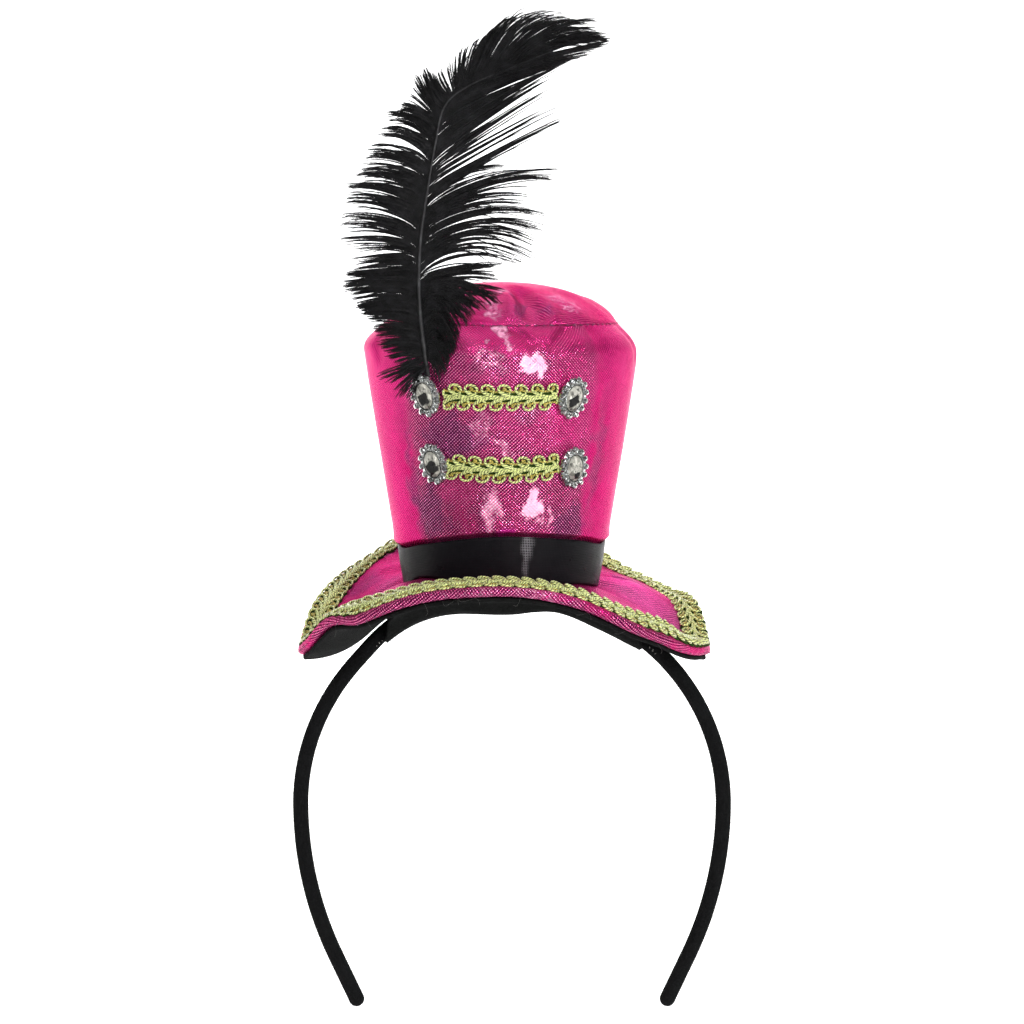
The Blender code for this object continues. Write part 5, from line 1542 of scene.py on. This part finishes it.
plumeLook = {
    "foot": [(-23.9, -35.5, 71.8), (-24.5, -35.8, 74.8)],
    "quill": [
        (-25.1, -36.2, 78.1), (-26.6, -38.0, 90.5), (-27.2, -38.4, 103.0), (-26.6, -38.0, 115.5),
        (-24.8, -37.4, 128.0), (-22.5, -36.8, 141.5), (-19.6, -36.4, 153.4), (-12.2, -36.0, 159.5),
        (-1.0, -35.6, 164.2), (12.0, -35.4, 169.3), (24.8, -35.4, 172.4),
    ],
    "quillEnd": 0.90,
    "quillRod": {"Radius": 0.60 * mm, "Sides": 10},
    # tufts of barbs from the lowest: where they leave the quill, as a share of its length, then x, z and arch in mm
    "leftTufts": [
        (0.000, -32.9, 76.1, 0.5), (0.016, -35.5, 80.2, 0.5), (0.034, -38.1, 83.7, 0.7),
        (0.060, -40.1, 88.1, 0.7), (0.083, -42.7, 92.8, 0.7), (0.120, -44.7, 94.8, 1.2),
        (0.170, -49.1, 101.0, 1.0), (0.203, -47.3, 105.0, 0.6), (0.231, -45.5, 108.2, 0.8),
        (0.254, -48.7, 114.0, 0.9), (0.284, -49.3, 120.4, 1.1), (0.319, -47.5, 126.5, 1.2),
        (0.354, -47.2, 130.0, 1.2), (0.396, -44.6, 134.3, 1.2), (0.435, -41.9, 140.1, 1.2),
        (0.477, -37.0, 146.5, 0.9), (0.507, -36.1, 151.1, 1.0), (0.535, -31.1, 154.0, 0.0),
        (0.558, -27.9, 161.5, -2.9), (0.591, -25.0, 163.8, -3.5), (0.618, -21.8, 163.3, -2.4),
        (0.638, -15.1, 169.6, -1.5), (0.666, -7.0, 174.2, -0.6), (0.695, 1.7, 179.6, 0.3),
        (0.727, 12.8, 179.6, 1.2), (0.763, 22.1, 177.1, 1.5), (0.807, 26.5, 174.0, 1.2),
        (0.857, 27.6, 172.5, 0.6),
    ],
    "rightLowTufts": [
        (0.000, -19.4, 76.3, 2.7), (0.017, -17.6, 82.2, 2.7), (0.048, -16.4, 85.5, 3.5),
        (0.083, -12.0, 92.2, 3.5), (0.116, -9.1, 95.4, 2.4), (0.146, -3.2, 98.9, 1.8),
        (0.177, -3.8, 104.5, 1.2), (0.195, -4.4, 107.4, 0.0), (0.219, 5.3, 108.8, 5.0),
        (0.242, 6.1, 114.0, 4.1), (0.268, 8.5, 117.5, 3.5), (0.291, 8.7, 122.5, 2.4),
        (0.316, 3.5, 126.5, 1.5), (0.342, 13.1, 133.2, 1.2), (0.358, 11.6, 135.2, 0.6),
        (0.371, -3.0, 136.0, 0.6),
    ],
    "rightHighTufts": [
        (0.373, 0.0, 141.0, 0.0), (0.384, 13.2, 148.4, 0.0), (0.400, 13.7, 149.1, 0.0),
        (0.424, 12.2, 152.0, 0.0), (0.450, 11.0, 158.0, 0.0), (0.477, 10.8, 161.2, 0.0),
        (0.506, 15.4, 165.8, 0.0), (0.540, 10.5, 163.3, 0.3), (0.575, 14.0, 165.6, 0.3),
        (0.615, 18.0, 166.7, 0.3), (0.657, 20.3, 167.6, 0.6), (0.695, 23.3, 169.3, 0.6),
        (0.737, 26.2, 170.8, 0.6), (0.797, 27.3, 171.7, 0.3), (0.857, 27.6, 172.3, 0.0),
    ],
    # barbs that droop over the crown from higher up the quill
    "droopTufts": [
        (0.000, -21.5, 72.8, 2.0), (0.015, -19.9, 76.0, 3.0), (0.050, -18.4, 79.5, 4.5),
        (0.080, -17.0, 83.0, 5.0), (0.110, -15.6, 86.5, 5.0), (0.135, -13.0, 90.5, 4.5),
        (0.160, -9.0, 94.0, 4.0), (0.175, -4.0, 96.5, 3.5),
    ],
    # small tufts beside the jewel: tip x and z
    "footTufts": [(-38.2, 75.2), (-37.6, 74.0), (-35.5, 72.8), (-34.1, 71.1), (-32.3, 69.0), (-29.7, 68.7)],
    "steps": 15,
    "shift": 1.6,
    # each piece grows from tables: first and last row used, number of barbs, seed, pull to the tuft's tip, hook
    # at the quill, how far strips close up, length of the barbules, and how soon the barbs rise
    "vanes": [
        ("plumeLeft", [("leftTufts", 0, 18, 390, 5, 0.34, 2.2, 0.35, 1.0, 1.5)]),
        ("plumeFoot", [
            ("leftTufts", 0, 8, 120, 17, 0.05, 1.6, 0.3, 1.0, 1.3),
            ("droopTufts", 0, 8, 140, 21, 0.2, 1.0, 0.5, 1.0, 0.8),
        ]),
        ("plumeTop", [
            ("leftTufts", 16, 28, 170, 25, 0.25, 2.6, 0.5, 1.1, 1.5),
            ("leftTufts", 17, 28, 110, 27, 0.0, 2.0, 0.2, 1.2, 1.9),
        ]),
        ("plumeRightLow", [("rightLowTufts", 0, 16, 230, 9, 0.40, 1.4, 0.6, 1.0, 1.7)]),
        ("plumeRightHigh", [
            ("rightHighTufts", 0, 9, 90, 13, 0.55, 1.4, 0.9, 0.6, 1.1),
            ("rightHighTufts", 8, 15, 80, 14, 0.4, 1.4, 0.7, 0.8, 1.1),
        ]),
    ],
    "strips": 4.2,
    "barb": {
        "Half Width": 0.26 * mm, "Flatness": 0.22, "Barbule Length": 1.2 * mm, "Barbule Radius": 0.10 * mm,
        "Barbule Step": 0.27 * mm, "Barbule Angle": 0.40, "Seed": 3,
    },
}


def quillPoint(share):
    line = np.array(plumeLook["quill"])
    return np.stack(throughTable(np.arange(len(line)), line, np.asarray(share, float) * (len(line) - 1)), -1)


def clearOfCrown(points):
    # a point of the plume below the crown's top stays in front of the crown
    x, y, z = np.moveaxis(points, -1, 0)
    puff, puffHeight, puffSpread = crown["puff"]
    radius = fullRadius(np.minimum(z, 89.5)) + 1.0 + puff * bell(z - puffHeight, puffSpread)
    across = x + 3.3
    inside = (np.abs(across) < radius) & (z < 94.7)
    limit = -np.sqrt(np.maximum(radius**2 - across**2, 0))
    y = np.where(inside, np.minimum(y, limit), y)
    return np.stack([x, y, z], -1)


def growBarbs(table, begin, end, count, seed, tuftPull, hook, gather, fuzz, rise):
    look = plumeLook
    dice = np.random.default_rng(seed)
    steps = look["steps"]
    tufts = np.array(look[table][begin:end])
    first, last = tufts[0, 0], tufts[-1, 0] + 0.012
    share = first + (np.arange(count) + dice.uniform(-0.45, 0.45, count)) / (count - 1) * (last - first)
    share = np.clip(share, 0, 1)
    index = np.arange(len(tufts))
    place = np.interp(share, tufts[:, 0], index)
    # each barb leans towards its tuft's tip and closes up with its neighbours, and some go their own way
    pull = tuftPull * np.where(dice.random(count) < 0.16, 0.15, 1.0)
    nearest = np.round(np.clip(place + dice.normal(0, 0.12, count), 0, len(tufts) - 1))
    target = place + pull * (nearest - place)
    strip = np.round(target * look["strips"] + dice.normal(0, 0.1, count))
    target += gather * (strip / look["strips"] - target) + dice.normal(0, 0.04, count)
    target = np.clip(target, 0, len(tufts) - 1)
    x, z, arch = throughTable(index, tufts[:, 1:], target)
    stripDice = np.random.default_rng(seed + 1).normal(0, 1, 400)[strip.astype(int) % 400]
    length = 1.0 - 0.10 * np.abs(target - nearest) + dice.normal(0, 0.03, count) + 0.02 * stripDice
    length -= np.where(dice.random(count) < 0.30, dice.uniform(0.0, 0.30, count), 0.0)
    length += np.where(dice.random(count) < 0.05, dice.uniform(0.0, 0.06, count), 0.0)
    root = quillPoint(share)
    tip = np.stack([x, root[:, 1], z], -1)
    tip = root + (tip - root) * length[:, None]
    depth = look["shift"] * (nearest % 2) + 0.8 * stripDice + dice.normal(0, 0.3, count)
    t = np.linspace(0, 1, steps)[None, :, None]
    ahead = unit(quillPoint(np.clip(share + 0.01, 0, 1)) - quillPoint(np.clip(share - 0.01, 0, 1)))
    climb = np.concatenate([t, t, 1 - (1 - t) ** rise], -1)
    path = root[:, None] + (tip - root)[:, None] * climb
    path[..., 2] += (4 * arch[:, None, None] * t * (1 - t))[..., 0]
    path = path + ahead[:, None] * hook * (1 - np.exp(-t / 0.08)) * (1 - t) ** 1.5
    path[..., 1] -= depth[:, None] * t[..., 0] ** 1.3 - 0.35
    sway = dice.normal(0, 0.20, (count, 2, 1))
    phase = dice.uniform(0, turnFull, (count, 1))
    wave = np.sin(t[..., 0] * 5.0 + phase) * t[..., 0]
    path[..., 2] += sway[:, 0] * wave
    path[..., 1] += 1.5 * sway[:, 1] * wave
    path = clearOfCrown(path)
    t = t[..., 0] * np.ones((count, 1))
    thick = (0.55 + 0.45 * smoothStep(t / 0.25)) * np.clip(1.0 - 0.80 * t**2.2, 0.12, 1)
    fluff = (0.35 + 0.65 * smoothStep(t / 0.12)) * (1 - 0.55 * smoothStep((t - 0.75) / 0.25))
    return path * mm, thick, fuzz * fluff


def vaneTree(values):
    tree, source = startTree("barbVane", values)
    front, angle, seed = (0.0, -1.0, 0.0), source["Barbule Angle"], source["Seed"]
    curves = geo(tree, "SetCurveNormal", Curve=curvesThrough(source), Normal=front, mode="FREE")
    blade = geo(tree, "CurvePrimitiveCircle", Resolution=4, Radius=1.0)
    blade = geo(tree, "Transform", Geometry=blade, Scale=joinXyz(source["Flatness"], 1.0, 1.0))
    radius = readField(tree, "thick") * source["Half Width"]
    barbs = geo(tree, "CurveToMesh", Curve=curves, Profile_Curve=blade, Scale=radius, Fill_Caps=True)
    # barbules leave each barb to its two sides in turn, rolled at random
    spots = geo(tree, "ResampleCurve", Curve=curves, Length=source["Barbule Step"], mode="LENGTH")
    tangent = geo(tree, "InputTangent")
    sideways = vecCalc("NORMALIZE", vecCalc("CROSS_PRODUCT", tangent, front))
    sideways = sideways * (geo(tree, "InputIndex") % 2.0 * 2.0 - 1.0)
    roll = randomValue(tree, -0.8, 0.8, seed)
    out = sideways * calc("COSINE", roll) + scaled(front, calc("SINE", roll))
    turn = turnTo(tangent * calc("COSINE", angle) + out * calc("SINE", angle))
    size = joinXyz(1.0, 1.0, randomValue(tree, 0.6, 1.2, seed) * readField(tree, "fluff"))
    thorn = thornShape(tree, source["Barbule Radius"], source["Barbule Length"])
    barbules = geo(tree, "InstanceOnPoints", Points=spots, Instance=thorn, Rotation=turn, Scale=size)
    return endTree(source, joinParts([barbs, geo(tree, "RealizeInstances", Geometry=barbules)]))


def addFootTufts(path, thick, fluff):
    # the few short barbs that stick out on the left of the upper jewel
    dice = np.random.default_rng(77)
    t = np.linspace(0, 1, path.shape[1])[:, None]
    extra = []
    for x, z in plumeLook["footTufts"]:
        for _ in range(5):
            root = quillPoint(0.0) + dice.normal(0, 0.6, 3)
            tip = np.array([x + dice.normal(0, 0.7), root[1], z + dice.normal(0, 0.5)])
            line = root + (tip - root) * t
            line[:, 2] += (2.5 * t * (1 - t))[:, 0]
            extra.append(line)
    extra = clearOfCrown(np.array(extra)) * mm
    more = len(extra)
    thick = np.concatenate([thick, thick[:1].repeat(more, 0)])
    return np.concatenate([path, extra]), thick, np.concatenate([fluff, fluff[:1].repeat(more, 0)])


def makePlume():
    look = plumeLook
    end, values = look["quillEnd"], look["quillRod"]
    share = np.linspace(0, end, 110)
    line = np.concatenate([np.array(look["foot"]), quillPoint(share)]) * mm
    thick = np.concatenate([[0.75, 0.9], 1.0 - 0.85 * share / end])
    growPiece("plumeQuill", "feather", "plume", line, cordTree("quill", values), quillBlack, values, thick=thick)
    tree = vaneTree(look["barb"])
    for name, tables in look["vanes"]:
        grown = [growBarbs(*table) for table in tables]
        path, thick, fluff = [np.concatenate(part) for part in zip(*grown)]
        if name == "plumeFoot":
            path, thick, fluff = addFootTufts(path, thick, fluff)
        fields = strandFields(path, thick=thick, fluff=fluff)
        growPiece(name, "feather", None, path, tree, barbBlack, look["barb"], **fields)


makePlume()
print("plume made")


# Stitches along the seams, short hairs on the felt and the wrap, lint and specks of dried glue

trimLook = {
    "stitch": {"Length": 0.65 * mm, "Radius": 0.16 * mm},
    # radius and height of the seam between side and tip, in mm
    "seam": (35.75, 89.62),
    "seamGap": 2.6 * mm,
    "hemGap": 3.4 * mm,
    "hairs": 5200,
    "hair": {"Length": 0.75 * mm, "Radius": 0.035 * mm},
    # lint: turn round the brim in degrees, share of its size, length in mm
    "lintLines": [
        (-14, 0.985, 5), (-9, 0.99, 7), (-21, 0.98, 5), (4, 0.99, 4), (21, 0.985, 6), (33, 0.99, 5),
        (-38, 0.99, 6), (46, 0.99, 4), (-52, 0.985, 5),
    ],
    "lint": {"Radius": 0.022 * mm, "Sides": 4},
    # dried glue: x, y, z and size in mm
    "glueSpots": [
        (-40.8, -3.0, -8.6, 0.40), (-39.9, -3.2, -7.9, 0.3), (-41.6, -2.7, -9.6, 0.3),
        (43.3, -3.0, -10.9, 0.45), (42.3, -3.3, -10.0, 0.35), (44.1, -2.7, -12.0, 0.3),
    ],
    "glue": {"Length": 1.0 * mm, "Radius": 0.6 * mm},
}


def leanTree(name, values):
    # small pieces set on points, along each point's lean and scaled by its size
    tree, source = startTree(name, values)
    points = geo(tree, "MeshToPoints", Mesh=source["Geometry"])
    radius, length = source["Radius"], source["Length"]
    if name == "hair":
        shape = thornShape(tree, radius, length)
    else:
        shape = geo(tree, "MeshIcoSphere", Radius=1.0, Subdivisions=2)
        shape = geo(tree, "Transform", Geometry=shape, Scale=joinXyz(radius, radius, length))
    turn, size = turnTo(readField(tree, "lean", "FLOAT_VECTOR")), readField(tree, "size")
    return endTree(source, geo(tree, "InstanceOnPoints", Points=points, Instance=shape, Rotation=turn, Scale=size))


def spotsAlong(line, gap):
    # evenly spaced places on a closed line, with the way it runs there
    wide = np.vstack([line, line[:1]])
    walked = np.append(0, np.cumsum(np.linalg.norm(np.diff(wide, axis=0), axis=1)))
    places = np.linspace(0, walked[-1], int(walked[-1] / gap) + 1)[:-1]
    spots, ahead = [
        np.stack([np.interp(places + step, walked, column) for column in wide.T], -1) for step in (0, 0.5 * mm)
    ]
    return spots, unit(ahead - spots)


def makeStitches():
    look = trimLook
    tree = leanTree("stitch", look["stitch"])
    turns = evenTurns(720)
    radius, height = look["seam"]
    seam = crownPoint(height * np.ones_like(turns), radius * np.ones_like(turns), turns)
    middle = 0.5 * (saddle["feltWall"] + saddle["gap"] + saddle["depth"])
    hem = brimPoint(1.0 + 0.05 * mm / saddle["halfY"], turns, middle - 0.9 * mm)
    jobs = [("seamStitches", seam, look["seamGap"], 31), ("hemStitches", hem, look["hemGap"], 32)]
    for name, line, gap, seed in jobs:
        dice = np.random.default_rng(seed)
        spots, ahead = spotsAlong(line, gap)
        lean = ahead + dice.normal(0, 0.22, ahead.shape)
        size = dice.uniform(0.7, 1.15, len(spots))
        growPiece(name, "lame", None, spots, tree, seamThread, look["stitch"], lean=lean, size=size)


def hairsOn(piece, count, seed):
    # random places on a piece's skin, each with a lean between its normal and a random way
    dice = np.random.default_rng(seed)
    mesh = piece.data
    mesh.calc_loop_triangles()
    corners = np.array([[mesh.vertices[v].co for v in tri.vertices] for tri in mesh.loop_triangles])
    normals = np.cross(corners[:, 1] - corners[:, 0], corners[:, 2] - corners[:, 0])
    area = np.linalg.norm(normals, axis=1)
    picks = dice.choice(len(area), count, p=area / area.sum())
    a, b = dice.random((2, count, 1))
    a, b = np.where(a + b > 1, 1 - a, a), np.where(a + b > 1, 1 - b, b)
    corners, normals = corners[picks], normals[picks] / area[picks, None]
    spots = corners[:, 0] + a * (corners[:, 1] - corners[:, 0]) + b * (corners[:, 2] - corners[:, 0])
    lean = normals * dice.uniform(0.2, 1.0, (count, 1)) + dice.normal(0, 0.5, (count, 3))
    lean = np.where((lean * normals).sum(1)[:, None] < 0, -lean, lean)
    return spots, lean, dice.uniform(0.4, 1.3, count)


def makeHairs():
    count, values = trimLook["hairs"], trimLook["hair"]
    tree = leanTree("hair", values)
    jobs = [("feltHairs", "felt", [brimFelt, feltPatch], feltBlack)]
    jobs.append(("wrapHairs", "band_wrap", [bandWrap], wrapBlack))
    for name, slot, skins, material in jobs:
        grown = [hairsOn(skin, count // len(skins), 50 + i) for i, skin in enumerate(skins)]
        spots, lean, size = [np.concatenate(part) for part in zip(*grown)]
        growPiece(name, slot, None, spots, tree, material, values, lean=lean, size=size)


def makeLint():
    look = trimLook
    dice = np.random.default_rng(91)
    t = np.linspace(-0.5, 0.5, 14)[:, None]
    lines = []
    for turn, share, length in look["lintLines"]:
        spot = brimPoint(share, math.radians(turn), dice.uniform(0.2, 1.0) * mm) + [0, -0.25 * mm, 0]
        way = np.array([dice.normal(), 0.25 * dice.normal(), 0.6 * dice.normal()])
        side = np.array([-way[2], 0.0, way[0]])
        bend = dice.uniform(1.0, 3.0) * np.sin(t * dice.uniform(3, 6)) + dice.uniform(0.5, 1.5) * t**2
        lines.append(spot + (way * t * length + side * bend * 0.6) * mm / np.linalg.norm(way))
    lines = np.array(lines)
    fields = strandFields(lines, thick=np.ones(lines.shape[:2]))
    growPiece("lint", "felt", None, lines, cordTree("lint", look["lint"]), lintGrey, look["lint"], **fields)


def makeGlue():
    rows, values = np.array(trimLook["glueSpots"]), trimLook["glue"]
    lean = np.random.default_rng(4).normal(size=(len(rows), 3)) * [1, 0.4, 1]
    fields = {"lean": lean, "size": rows[:, 3]}
    growPiece("gluePatches", "felt", None, rows[:, :3] * mm, leanTree("glue", values), glueClear, values, **fields)


makeStitches()
makeHairs()
makeLint()
makeGlue()
print("stitches, hairs, lint and glue made")
